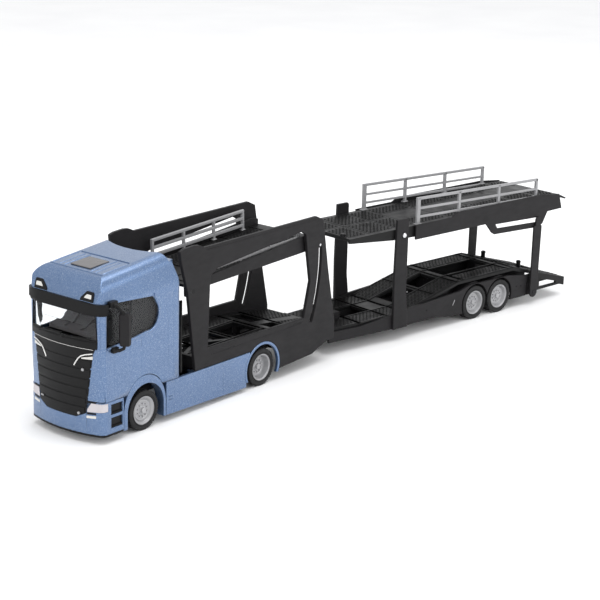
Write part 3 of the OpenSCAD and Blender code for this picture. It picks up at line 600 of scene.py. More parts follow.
def settle(piece: bpy.types.Object, body: str, slot: Slot, finish: Finish | None = None,
           stands_for: Sequence[str] = (), smooth: float = 40.0) -> bpy.types.Object:
    """Dresses a piece and lets it ride on a body.

    Args:
        piece: the finished mesh object.
        body: the body that it moves with.
        slot: the record's material slot.
        finish: its finish, or the slot's own when left out.
        stands_for: the nodes that it replaces.
        smooth: edges flatter than this, in degrees, are shaded smooth.

    Returns:
        The piece.
    """
    mesh = piece.data
    mesh.materials.clear()
    mesh.materials.append((finish or FINISH_OF[slot]).build())
    mesh.shade_smooth()
    mesh.set_sharp_from_angle(angle=radians(smooth))
    weigh = piece.modifiers.new("even_shading", "WEIGHTED_NORMAL")
    weigh.keep_sharp = True
    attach(piece, body)
    if stands_for:
        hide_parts(*stands_for)
    log.info("%s on %s, %d faces", piece.name, body, len(mesh.polygons))
    return piece


BODY_OF = {node: body for body, nodes in frame["record"]["behaviour"]["bodies"].items() for node in nodes}
SLOT_OF = {row["node"]: Slot(row["material_slot"]) for row in frame["record"]["subparts"]}


class Moulding:
    """A piece grown from a node's own shape: merged, cut, rounded at its edges and dressed."""

    def __init__(self, node: str) -> None:
        """Takes a copy of the node's mesh as clean flat faces.

        Args:
            node: the node's name.
        """
        self.node = node
        bm = bmesh.new()
        bm.from_mesh(frame["nodes"][node].data)
        bmesh.ops.remove_doubles(bm, verts=bm.verts, dist=2e-6)
        bmesh.ops.dissolve_degenerate(bm, dist=1e-6, edges=bm.edges)
        bmesh.ops.dissolve_limit(bm, angle_limit=radians(0.4), verts=bm.verts, edges=bm.edges,
                                 use_dissolve_boundaries=False, delimit={"NORMAL"})
        mesh = bpy.data.meshes.new(node + "_moulding")
        bm.to_mesh(mesh)
        bm.free()
        self.piece = bpy.data.objects.new(node + "_moulding", mesh)
        bpy.context.scene.collection.objects.link(self.piece)

    @contextmanager
    def editing(self) -> Iterator[bmesh.types.BMesh]:
        """Opens the piece's mesh for an edit and writes it back."""
        bm = bmesh.new()
        bm.from_mesh(self.piece.data)
        yield bm
        bm.to_mesh(self.piece.data)
        bm.free()

    def bake(self) -> None:
        """Applies the modifiers on the piece to its mesh."""
        bpy.context.view_layer.update()
        depsgraph = bpy.context.evaluated_depsgraph_get()
        done = bpy.data.meshes.new_from_object(self.piece.evaluated_get(depsgraph))
        self.piece.modifiers.clear()
        self.piece.data = done

    def carve(self, *cutters: bpy.types.Object) -> "Moulding":
        """Cuts other closed shapes out of the piece.

        Args:
            cutters: the shapes, which are used up.

        Returns:
            This moulding.
        """
        with self.editing() as bm:
            bmesh.ops.triangulate(bm, faces=bm.faces[:])
        for cutter in cutters:
            cut = self.piece.modifiers.new("cut", "BOOLEAN")
            cut.operation = "DIFFERENCE"
            cut.solver = "EXACT"
            cut.object = cutter
        self.bake()
        for cutter in cutters:
            bpy.data.objects.remove(cutter)
        return self

    def taper(self, start: float, end: float, share: float) -> "Moulding":
        """Draws the piece's sides in above a height, as the cab's upper half is.

        Args:
            start: the height where the taper begins, in millimetres.
            end: the height where it is full, in millimetres.
            share: how much the two sides have come in at the end, in millimetres.

        Returns:
            This moulding.
        """
        local = axle_frame("front_axle", "rear_axle", 0.0)
        into = local.matrix.inverted()
        with self.editing() as bm:
            bmesh.ops.triangulate(bm, faces=bm.faces[:])
            for height in (start, start + 0.25 * (end - start)):
                bmesh.ops.bisect_plane(bm, geom=bm.verts[:] + bm.edges[:] + bm.faces[:], dist=1e-7,
                                       plane_co=(0, 0, height * MM), plane_no=(0, 0, 1))
            for vert in bm.verts:
                place = into @ vert.co
                rise = max(0.0, min(1.0, (place.z - start) / (end - start)))
                place.y *= 1 - share * rise / CAB_HALF
                vert.co = local.matrix @ place
        return self

    def soften(self, width: float, segments: int = 2, angle: float = 28.0,
               above: float = -1.0) -> "Moulding":
        """Rounds the piece's sharp edges.

        Args:
            width: the round's width, in millimetres.
            segments: steps across the round.
            angle: edges flatter than this, in degrees, stay.
            above: edges with an end under this height, in millimetres, stay.

        Returns:
            This moulding.
        """
        with self.editing() as bm:
            sharp = [e for e in bm.edges if e.is_manifold and e.calc_face_angle(0.0) > radians(angle)
                     and min(v.co.z for v in e.verts) > above * MM]
            bmesh.ops.bevel(bm, geom=sharp, offset=width * MM, offset_type="OFFSET", segments=segments,
                            profile=0.5, affect="EDGES", material=-1, clamp_overlap=False, loop_slide=True)
            bmesh.ops.remove_doubles(bm, verts=bm.verts, dist=1e-6)
        return self

    def finish(self, finish: Finish | None = None, smooth: float = 50.0) -> bpy.types.Object:
        """Dresses the piece and lets it stand for its node.

        Args:
            finish: its finish, or its slot's own when left out.
            smooth: edges flatter than this, in degrees, are shaded smooth.

        Returns:
            The finished object.
        """
        return settle(self.piece, BODY_OF[self.node], SLOT_OF[self.node], finish, (self.node,), smooth)


# ---------------------------------------------------------------- sub-assemblies


@dataclass
class PlainMouldings:
    """The pieces whose own shape is right and that only need rounded edges and a finish."""

    soft: float = 0.14
    nodes: Sequence[str] = ()

    def build(self) -> None:
        """Builds every piece."""
        for node in self.nodes:
            Moulding(node).soften(self.soft).finish()


@dataclass
class Wheel:
    """A tyre with grooves and lugs on a dished rim, at one end of an axle."""

    local: Local
    station: float
    side: int
    face: float
    width: float
    dish: float
    twin: bool = False
    radius: float = 10.6
    rim: float = 7.5
    lug: float = 0.35
    lugs: int = 40
    nuts: int = 10
    nut_circle: float = 3.5

    @property
    def centre(self) -> Point:
        """The middle of the wheel's outer face."""
        return (self.station, self.side * self.face, self.radius)

    def tyre(self, name: str) -> Shape:
        """Builds the tyre.

        Args:
            name: the piece's name.

        Returns:
            The tyre.
        """
        shape = Shape(name, self.local)
        w, r, base = self.width, self.radius, self.radius - self.lug
        groove = 0.5
        rows = [0.30, 0.50, 0.70] if not self.twin else [0.14, 0.26, 0.38, 0.62, 0.74, 0.86]
        tread: list[Flat] = [(base, -1.0)]
        for share in rows:
            at = -w * share
            tread += [(base, at + 0.30), (base - groove, at + 0.18),
                      (base - groove, at - 0.18), (base, at - 0.30)]
        if self.twin:
            half = len(tread) // 2
            tread[half + 1:half + 1] = [(base, -w / 2 + 1.0), (base - 2.0, -w / 2 + 0.4),
                                        (base - 2.0, -w / 2 - 0.4), (base, -w / 2 - 1.0)]
        tread.append((base, -w + 1.0))
        seat = self.rim + 0.05
        outer = [(seat, -0.8), (seat, -0.35), (self.rim + 0.3, -0.1), (self.rim + 0.7, -0.12),
                 (self.rim + 0.85, -0.32), (self.rim + 1.1, -0.02), (r - 1.5, 0.0), (r - 1.2, -0.14),
                 (r - 1.0, -0.08), (r - 0.75, -0.12), (r - 0.30, -0.55)]
        back = [(r - 0.30, -w + 0.55), (r - 0.9, -w + 0.06), (self.rim + 0.7, -w), (seat, -w + 0.5)]
        shape.lathe(outer + tread + back + [(seat, -0.8)], self.centre, Axis.Y, 80, self.side < 0)
        return shape

    def add_lugs(self, shape: Shape) -> None:
        """Adds the tread's lugs round the tyre.

        Args:
            shape: the tyre.
        """
        w, r = self.width, self.radius
        rows = [(-0.45, -0.26 * w), (-0.34 * w, -0.48 * w), (-0.52 * w, -0.66 * w), (-0.74 * w, 0.45 - w)]
        if self.twin:
            rows = [(-0.45, -0.12 * w), (-0.16 * w, -0.24 * w), (-0.28 * w, -0.40 * w),
                    (-0.60 * w, -0.72 * w), (-0.76 * w, -0.84 * w), (-0.88 * w, 0.45 - w)]
        middle = Vector(self.centre)
        length = 2 * pi * r / self.lugs * 0.72
        for k in range(self.lugs):
            for i, (a, b) in enumerate(rows):
                angle = 2 * pi * (k + 0.5 * (i % 2)) / self.lugs
                turn = Matrix.Rotation(angle, 4, "Y")
                at = middle + Vector((0, self.side * (a + b) / 2, 0))
                at += turn @ Vector((0, 0, r - self.lug / 2 - 0.1))
                size = Matrix.Diagonal((length, abs(a - b), self.lug + 0.16, 1.0))
                bmesh.ops.create_cube(shape.bm, size=1.0, matrix=Matrix.Translation(at) @ turn @ size)

    def build_tyre(self, node: str) -> None:
        """Builds the tyre that stands for a node."""
        shape = self.tyre(node + "_treaded")
        self.add_lugs(shape)
        shape.finish(BODY_OF[node], Slot.TYRE, RUBBER, (node,), 35.0)

    def add_rim(self, shape: Shape) -> None:
        """Adds the dished rim with its ring, hub and nuts to a shape.

        Args:
            shape: the pair of rims in progress.
        """
        face = -self.dish
        profile = [(0.0, face + 1.5), (1.3, face + 1.5), (1.6, face + 1.2), (1.7, face + 0.4),
                   (2.3, face + 0.3), (2.6, face), (4.5, face - 0.05), (4.8, face + 0.15),
                   (5.5, face + 0.1), (5.9, face - 0.25),
                   (6.3, face + 0.3), (6.7, -0.75), (7.1, -0.55), (7.15, -0.3), (7.45, -0.3), (7.5, -0.6),
                   (7.5, -self.width + 0.6), (6.5, -self.width + 0.6), (6.4, face - 1.6), (0.0, face - 1.6)]
        shape.lathe(profile, self.centre, Axis.Y, 64, self.side < 0)
        middle = Vector(self.centre)
        for k in range(self.nuts):
            turn = Matrix.Rotation(2 * pi * k / self.nuts, 4, "Y")
            at = middle + turn @ Vector((0, self.side * (face + 0.25), self.nut_circle))
            bmesh.ops.create_cone(shape.bm, cap_ends=True, segments=6, radius1=0.52, radius2=0.42, depth=0.9,
                                  matrix=Matrix.Translation(at) @ Axis.Y.turn)


@dataclass
class Axles:
    """All wheels of the truck and the trailer."""

    truck: Local
    trailer: Local
    wheelbase: float = 93.0

    def sets(self) -> list[tuple[str, Local, float, float, float, float, bool]]:
        """Returns each axle's name, frame, station, face, width, dish and whether it has twin tyres."""
        return [("front", self.truck, 0.0, 25.2, 6.5, 1.5, False),
                ("rear", self.truck, -self.wheelbase, 25.2, 11.0, 3.6, True),
                ("bogie_front", self.trailer, BOGIE[0], 24.3, 7.0, 2.4, False),
                ("bogie_rear", self.trailer, BOGIE[1], 24.3, 7.0, 2.4, False)]

    def build(self) -> None:
        """Builds every tyre and every pair of rims."""
        for name, local, station, face, width, dish, twin in self.sets():
            rims = Shape(name + "_rims_dished", local)
            for side, hand in ((1, "left"), (-1, "right")):
                wheel = Wheel(local, station, side, face, width, dish, twin)
                wheel.build_tyre(f"{name}_tyre_{hand}")
                wheel.add_rim(rims)
            rims.finish(BODY_OF[name + "_rims"], Slot.RIM, RIM, (name + "_rims",), 35.0)


@dataclass
class Cab:
    """The painted cab with its roof, glazing edges, grille, lamps, mirrors and interior."""

    truck: Local
    body: str
    half: float = CAB_HALF
    curve_x: float = -37.4
    curve_r: float = 72.0
    corner: Flat = (26.94, 22.0)
    corner_r: float = 4.0
    corner_angle: float = 18.9
    line: float = 0.15

    def shape(self, name: str) -> Shape:
        """Starts a piece in the truck's frame."""
        return Shape(name, self.truck)

    def lean(self, z: float) -> float:
        """Returns how far forward the front reaches at a height."""
        if z <= 51.0:
            return 34.6
        if z <= 70.4:
            return 34.6 - 2.6 * (z - 51.0) / 19.4
        if z <= 76.7:
            return 32.0 - 1.67 * (z - 70.4) / 6.3
        return 18.0 + 12.4 * sqrt(max(0.0, 1 - ((z - 75.6) / 10.6) ** 2))

    def roof(self, x: float) -> float:
        """Returns the roof's height at a station."""
        line = 89.6 - (x + 20.5) * 0.098
        if x < 0:
            return min(line, 88.0 + 1.6 * x / -20.5)
        if x < 3:
            return min(line, 88.0 - 1.1 * x / 3)
        return min(line, 86.9 - 0.7 * (x - 3) / 15)

    def front(self, y: float, z: float, out: float) -> Point:
        """Returns the point on the front face at y and z, moved forward by out."""
        return (min(self.curve_x + sqrt((self.curve_r + out) ** 2 - y * y), self.lean(z) + out), y, z)

    def strip(self, shape: Shape, ys: Flat, low: Flat, high: Flat, out: float, depth: float,
              steps: int = 10) -> None:
        """Adds a strip that follows the cab's curved front.

        Args:
            shape: the piece in progress.
            ys: the strip's two ends across the cab.
            low: its lower edge's height at each end.
            high: its upper edge's height at each end.
            out: how far it stands proud.
            depth: its thickness.
            steps: steps along it.
        """
        sections = []
        for i in range(steps + 1):
            t = i / steps
            y, a, b = (p[0] + (p[1] - p[0]) * t for p in (ys, low, high))
            sections.append([self.front(y, a, out), self.front(y, b, out),
                             self.front(y, b, out - depth), self.front(y, a, out - depth)])
        shape.loft(sections)

    def wrap(self, shape: Shape, low: float, high: float, out: float, depth: float, reach: float) -> None:
        """Adds a band round the cab's front and both its corners.

        Args:
            shape: the piece in progress.
            low: its lower edge's height.
            high: its upper edge's height.
            out: how far it stands proud.
            depth: its thickness.
            reach: the station of its ends on the cab's sides.
        """
        sections = []
        for angle in self.stops():
            (xo, yo), (xi, yi) = self.plan(angle, out), self.plan(angle, out - depth)
            if abs(angle) >= 90.0:
                xo = xi = reach
            foot, head = self.lean(low) + out, self.lean(high) + out
            sections.append([(min(xo, foot), yo, low), (min(xo, head), yo, high),
                             (min(xi, head - depth), yi, high), (min(xi, foot - depth), yi, low)])
        shape.loft(sections)

    def stops(self) -> list[float]:
        """Returns the directions, in degrees, at which a band is given a section."""
        return [90.5, 89.9, 76, 62, 48, 34, 19.5] + [self.corner_angle * (1 - k / 7) for k in range(15)] \
            + [-19.5, -34, -48, -62, -76, -89.9, -90.5]

    def plan(self, angle: float, out: float) -> Flat:
        """Returns the plan's point in a direction, moved outwards by out."""
        a = radians(max(-90.0, min(90.0, angle)))
        if abs(angle) <= self.corner_angle:
            return (self.curve_x + (self.curve_r + out) * cos(a), (self.curve_r + out) * sin(a))
        side = 1 if angle > 0 else -1
        return (self.corner[0] + (self.corner_r + out) * cos(a),
                side * self.corner[1] + (self.corner_r + out) * sin(a))

    def build(self) -> None:
        """Builds every piece of the cab."""
        self.shell()
        self.roof_ribs()
        self.window_trims()
        self.cowl()
        self.grille_trim()
        self.lamps()
        self.lips()
        self.cabin()
        self.mirrors()

    def seams(self) -> list[bpy.types.Object]:
        """Returns the cutters for the moulded lines on the sides."""
        cutters = []
        door = [(-2, 81.6), (-7, 80.6), (-11, 77.4), (-13.6, 71.5), (-15.4, 64), (-16.6, 55), (-17, 46),
                (-17, 24)]
        lines = [door, [(22.2, 50.2), (22.2, 23.6)], [(3.0, 50.0), (3.0, 30.6)],
                 [(21.6, 45.8), (-16.6, 45.8)], [(-17.4, 38.0), (-27.2, 38.0)], [(-2.2, 81.6), (20, 80.2)],
                 [(-20.6, 86), (-20.6, 24)]]
        for side in (1, -1):
            for path in lines:
                cutter = self.shape("seam")
                cutter.wire([(x, side * (self.half + 0.06), z) for x, z in path], self.line, 6)
                cutters.append(cutter.as_object())
            for angle in (33, 70):
                x, y = self.plan(side * angle, 0.08)
                cutter = self.shape("pillar_seam")
                cutter.wire([(x, y, 50.2), (x, y, 67.0)], 0.3, 6)
                cutters.append(cutter.as_object())
        return cutters

    def shell(self) -> None:
        """Cuts the seams and the deflector's hollow into the shell and closes its front beside the grille."""
        hollow = self.shape("hollow")
        hollow.drum((-66.0, 0.0, 89.5), Axis.Z, 52.0, 9.0, 0.0, 96)
        step = self.shape("step")
        step.block((1.7, -17.0, 86.75), (2.5, 17.0, 89.0), 0.0)
        shell = Moulding("cab_shell").carve(hollow.as_object()).soften(0.3, above=72.5).taper(73.0, 90.0, 2.6)
        shell.carve(*self.seams(), step.as_object()).finish()
        cheeks = self.shape("front_cheeks")
        self.wrap(cheeks, 22.6, 49.8, -0.3, 0.9, 18.0)
        cheeks.finish(self.body, Slot.PAINT)
        tray = self.shape("deflector_tray")
        tray.block((-24.6, -21.6, 83.2), (-8.0, 21.6, 85.0), 0.1)
        outline = [(-66 + sqrt(52.0 ** 2 - y * y), y) for y in range(-20, 21, 4)]
        outline += [(-66 + sqrt(53.4 ** 2 - y * y), y) for y in range(20, -21, -4)]
        tray.plate(outline, Axis.Z, 84.6, 3.4, 0.0)
        tray.finish(self.body, Slot.PAINT)

    def roof_ribs(self) -> None:
        """Adds the raised beads beside the hatch and the frame round it."""
        ribs = self.shape("roof_ribs")
        for y, radius in ((9.3, 0.55), (12.6, 0.42), (17.6, 0.5)):
            path = [(x, y, self.roof(x) - radius * 0.35) for x in (21.0, 18.0, 12.0, 7.0, 3.4)]
            path = [(22.2, y, self.roof(18.0) - radius - 1.0)] + path + [(2.8, y, self.roof(3.4) - radius)]
            ribs.wire(path, radius, 10)
        ribs.mirror_over()
        ribs.wire([(22.4, y, self.roof(18.0) - 0.55) for y in (-18, -9, 0, 9, 18)], 0.5, 10)
        ribs.finish(self.body, Slot.PAINT)
        Moulding("roof_hatch").soften(0.35).finish()

    def window_trims(self) -> None:
        """Adds the rounded frames behind the side windows and the windscreen's gasket."""
        trims = self.shape("side_window_frames")
        path = [(-6.6, self.half - 0.1, 71.4)]
        for k in range(9):
            a = radians(-200 + 120 * k / 8)
            path.append((-2 + 8.2 * cos(a), self.half - 0.1, 61.6 + 9.2 * sin(a)))
        path += [(8.0, self.half - 0.1, 51.0), (27.0, self.half - 0.1, 49.7)]
        trims.wire(path, 0.55, 10)
        trims.mirror_over()
        trims.finish(self.body, Slot.PAINT)
        gasket = self.shape("windscreen_gasket")
        self.strip(gasket, (-21.8, 21.8), (70.8, 70.8), (71.8, 71.8), 0.12, 0.9, 20)
        for side in (1, -1):
            edge = [self.front(side * (21.7 + 1.1 * (71 - z) / 18), z, -0.1) for z in (71.4, 65, 59, 53.2)]
            gasket.wire(edge, 0.34, 8)
        gasket.finish(self.body, Slot.BLACK)

    def cowl(self) -> None:
        """Adds the cowl under the windscreen and the wipers on it."""
        cowl = self.shape("windscreen_cowl")
        self.strip(cowl, (-22.9, 22.9), (50.2, 50.2), (53.4, 53.4), 0.35, 1.2, 24)
        self.strip(cowl, (-22.6, 22.6), (52.6, 52.6), (54.4, 54.4), 0.05, 0.8, 24)
        cowl.finish(self.body, Slot.BLACK)
        wipers = self.shape("wipers")
        for start, end in ((2.0, 19.5), (-15.0, 1.5)):
            arm = [self.front(start + (end - start) * t, 53.8 + 2.4 * t * (1 - t) + 1.0 * t, 0.75)
                   for t in (0, 0.2, 0.4, 0.6, 0.8, 1)]
            wipers.wire(arm, 0.3, 8)
            blade = [self.front(start + 4 + (end - start) * t * 0.8, 54.9 + 0.7 * t, 0.55)
                     for t in (0, 0.5, 1)]
            wipers.wire(blade, 0.24, 6)
            wipers.drum(self.front(start, 53.6, 0.5), Axis.X, 0.75, 1.0, 0.2, 16)
        wipers.finish(self.body, Slot.BLACK)

    def grille_trim(self) -> None:
        """Dresses the grille and adds its bright strokes, its lamps and its slat lips."""
        Moulding("grille").soften(0.18).finish(BLACK)
        slats = self.shape("grille_slats")
        for z, edge in ((17.3, 15.6), (22.2, 16.2), (27.2, 17.0), (32.2, 17.9), (37.2, 18.7), (42.2, 19.2)):
            self.strip(slats, (-edge, edge), (z - 1.2, z - 1.2), (z + 1.3, z + 1.3), 0.22, 0.5, 20)
        for z in range(16, 48, 4):
            edge = 16.2 + 4.0 * (z - 16) / 31
            self.strip(slats, (-edge, edge), (z, z), (z + 4.1, z + 4.1), -0.15, 0.6, 20)
        slats.finish(self.body, Slot.BLACK)
        bright = self.shape("grille_bright_strokes")
        line = [(9.9, 40.2), (11.2, 42.4), (12.6, 44.3), (14.2, 45.7), (16.5, 46.6), (20.6, 47.6)]
        bright.wire([self.front(y, z, 0.25) for y, z in line], 0.36, 8)
        bright.mirror_over()
        bright.wire([self.front(y, 49.6, 0.3) for y in (-21, -14, -7, 0, 7, 14, 21)], 0.1, 6)
        bright.finish(self.body, Slot.LENS, CHROME)
        lamps = self.shape("grille_side_lamps")
        self.strip(lamps, (14.4, 20.4), (44.2, 44.6), (44.8, 46.2), 0.35, 0.8, 6)
        lamps.mirror_over()
        lamps.finish(self.body, Slot.LENS, FOG)
        boss = self.shape("grille_bosses")
        boss.drum(self.front(15.0, 38.6, 0.3), Axis.X, 0.8, 0.8, 0.2, 16)
        boss.drum(self.front(12.4, 15.4, 0.3), Axis.X, 0.75, 0.9, 0.2, 16)
        self.strip(boss, (-15.0, -12.8), (18.4, 18.4), (19.1, 19.1), 0.42, 0.5, 3)
        boss.finish(self.body, Slot.RIM, RIM)

    def lamps(self) -> None:
        """Adds the marker lamps in their dark housings and dresses the headlights."""
        housing = self.shape("marker_lamp_housings")
        levels = ((73.6, 11.6, 20.6), (75.2, 12.2, 20.6), (77.4, 14.4, 20.5), (78.6, 15.6, 20.2))
        housing.loft([[(28.0, a, z), (28.0, b, z), self.front(b, z, 0.55), self.front(a, z, 0.55)]
                      for z, a, b in levels])
        housing.soften(housing.bm.verts[:], 0.22)
        housing.mirror_over()
        housing.finish(self.body, Slot.BLACK)
        lens = self.shape("marker_lamp_lenses")
        levels = ((75.2, 14.6, 19.4), (76.2, 15.2, 19.4), (77.2, 16.2, 19.2))
        lens.loft([[(29.0, a, z), (29.0, b, z), self.front(b, z, 0.85), self.front(a, z, 0.85)]
                   for z, a, b in levels])
        lens.soften(lens.bm.verts[:], 0.15)
        lens.mirror_over()
        lens.finish(self.body, Slot.LENS, FOG, ("marker_lamps",))
        Moulding("headlights").soften(0.12).finish()
        fog = self.shape("fog_lamp_strips")
        self.strip(fog, (16.8, 22.0), (13.5, 13.9), (14.8, 15.2), 0.16, 0.6, 8)
        fog.mirror_over()
        fog.finish(self.body, Slot.LENS, FOG)
        brow = self.shape("headlight_brows")
        self.strip(brow, (17.2, 22.0), (21.7, 21.7), (22.5, 22.5), 0.05, 0.8, 8)
        self.strip(brow, (17.0, 22.0), (15.5, 15.8), (16.5, 16.8), 0.05, 0.8, 8)
        brow.mirror_over()
        brow.finish(self.body, Slot.BLACK)

    def lips(self) -> None:
        """Adds the visor and the dark lip under the bumper."""
        visor = self.shape("sun_visor_band")
        self.wrap(visor, 68.6, 73.2, 1.2, 2.0, 28.0)
        self.wrap(visor, 67.2, 68.7, 0.55, 1.4, 28.0)
        visor.finish(self.body, Slot.BLACK, BLACK, ("sun_visor",))
        lip = self.shape("bumper_lip")
        self.wrap(lip, 4.1, 5.3, 0.0, 2.4, 16.2)
        lip.finish(self.body, Slot.BLACK)
        Moulding("front_bumper").soften(0.2).finish()
        steps = self.shape("cab_steps_with_painted_recess_shade")
        for low in (8.2, 15.2):
            # The thin black blocks at the back of each step recess are painted shade that darkens the
            # recesses; the ledges under them are the steps.
            steps.block((16.4, 24.5, low), (24.3, 24.95, low + 5.0), 0.1)
            steps.block((16.4, 24.6, low), (24.3, 25.7, low + 0.7), 0.15)
        steps.mirror_over()
        steps.finish(self.body, Slot.BLACK)

    def cabin(self) -> None:
        """Adds the bulkhead, the curtain panels, the seats' backs, the dashboard and a dark sheet of painted
        shade inside the left side window.
        """
        Moulding("cab_interior").soften(0.3).finish(DASH)
        dark = self.shape("cabin_bulkhead")
        dark.block((-11.4, -23.9, 24.2), (-10.4, 23.9, 73.0), 0.2)
        dark.finish(self.body, Slot.INTERIOR)
        doors = self.shape("cabin_door_panels")
        doors.block((-10.2, 22.9, 24.2), (25.0, 23.9, 49.6), 0.4)
        doors.block((2.0, 21.8, 40.0), (16.0, 23.2, 41.6), 0.4)
        doors.mirror_over()
        doors.finish(self.body, Slot.INTERIOR, DASH)
        seats = self.shape("seat_bank")
        slope = ((22.0, 50.8), (12.0, 53.5), (4.0, 58.5), (-4.0, 66.0), (-9.5, 69.0))
        seats.loft([section(x, (-20.5, 20.5), (z, z + 1.6)) for x, z in slope])
        for y in (-11.0, 0.6, 11.0):
            seats.wire([(20.0, y, 53.0), (12.0, y, 55.6), (4.0, y, 60.4), (-4.0, y, 67.6)], 0.6, 8)
        seats.finish(self.body, Slot.INTERIOR, DASH)
        board = self.shape("dashboard")
        self.strip(board, (-19.0, 19.0), (47.6, 47.6), (50.2, 50.2), -2.2, 7.0, 12)
        board.finish(self.body, Slot.INTERIOR, DASH)
        panel = self.shape("curtain_panels")
        panel.block((-10.2, 22.6, 48.0), (7.4, 23.4, 73.4), 0.2)
        panel.finish(self.body, Slot.INTERIOR, CURTAIN)
        # A near-black sheet just inside the left side window: painted shade that makes the glass look dark,
        # standing for the unlit cabin behind it.
        shade = self.shape("side_window_painted_shade")
        shade.block((7.6, 21.8, 49.0), (26.5, 22.4, 73.0), 0.1)
        shade.finish(self.body, Slot.INTERIOR)

    def mirrors(self) -> None:
        """Builds both mirrors with their arms, housings and glasses."""
        for side, hand in ((1, "left"), (-1, "right")):
            node = "mirror_" + hand
            arms = self.shape(node + "_arms")
            y = side * self.half
            inner, top, foot = y - side * 0.4, y + side * 2.2, y + side * 2.0
            arms.block((21.4, min(inner, top), 71.2), (26.4, max(inner, top), 74.4), 0.4)
            arms.block((20.6, min(inner, foot), 47.4), (24.6, max(inner, foot), 50.4), 0.5)
            upper = ((24.0, 1.4, 72.6), (23.6, 3.0, 72.2), (22.4, 4.2, 70.6), (20.6, 4.8, 68.6),
                     (19.8, 4.8, 66.0))
            lower = ((22.6, 1.0, 48.8), (21.6, 3.0, 48.8), (20.2, 4.6, 49.8), (19.7, 4.8, 52.0))
            for path, radius in ((upper, 0.95), (lower, 0.9)):
                arms.wire([(x, y + side * out, z) for x, out, z in path], radius, 12)
            arms.finish(self.body, Slot.BLACK)
            turn = radians(35.0 * side)
            place = self.truck.matrix @ Vector((19.6, side * 30.8, 0.0))
            local = Local(place, self.truck.heading + turn)
            housing = Shape(node + "_housing", local)
            outline = ((-1.5, -3.05), (-1.5, 3.05), (-0.3, 3.05), (1.5, 2.3), (1.5, -2.3), (-0.3, -3.05))
            levels = ((51.0, 0.6, 0.80), (51.8, 0.9, 0.94), (56.0, 1.0, 1.0), (56.3, 0.9, 0.97),
                      (56.6, 1.0, 1.0), (66.6, 1.0, 0.96), (67.5, 0.86, 0.88), (68.0, 0.5, 0.7))
            housing.loft([[(x * deep, w * wide, z) for x, w in outline] for z, deep, wide in levels])
            housing.soften(housing.bm.verts[:], 0.25, 2, 40.0)
            housing.finish(self.body, Slot.BLACK, CHARCOAL, (node,))
            glass = Shape(node + "_glass", local)
            glass.block((-1.62, -2.5, 57.2), (-1.3, 2.5, 66.6), 0.1)
            glass.block((-1.62, -2.4, 52.2), (-1.3, 2.4, 55.8), 0.1)
            glass.finish(self.body, Slot.RIM, STEEL)


@dataclass
class TreadPlate:
    """A patch of raised tread: short slanted dashes inside a low border."""

    pitch: float = 1.45
    length: float = 1.15
    width: float = 0.42
    height: float = 0.28
    slant: float = 45.0

    def lay(self, shape: Shape, xs: Flat, ys: Flat, level: Callable[[float], float]) -> None:
        """Lays dashes over a patch.

        Args:
            shape: the piece in progress.
            xs: the patch's two ends.
            ys: its two sides.
            level: gives the floor's height at a station.
        """
        across = max(1, round((ys[1] - ys[0]) / self.pitch))
        along = max(1, round((xs[1] - xs[0]) / self.pitch))
        for i in range(along):
            for j in range(across):
                x = xs[0] + (i + 0.5) * (xs[1] - xs[0]) / along
                y = ys[0] + (j + 0.5) * (ys[1] - ys[0]) / across
                z = level(x)
                shape.bar((x - self.length / 2, y - self.width / 2, z - 0.3),
                          (x + self.length / 2, y + self.width / 2, z + self.height),
                          self.slant if (i + j) % 2 else -self.slant)


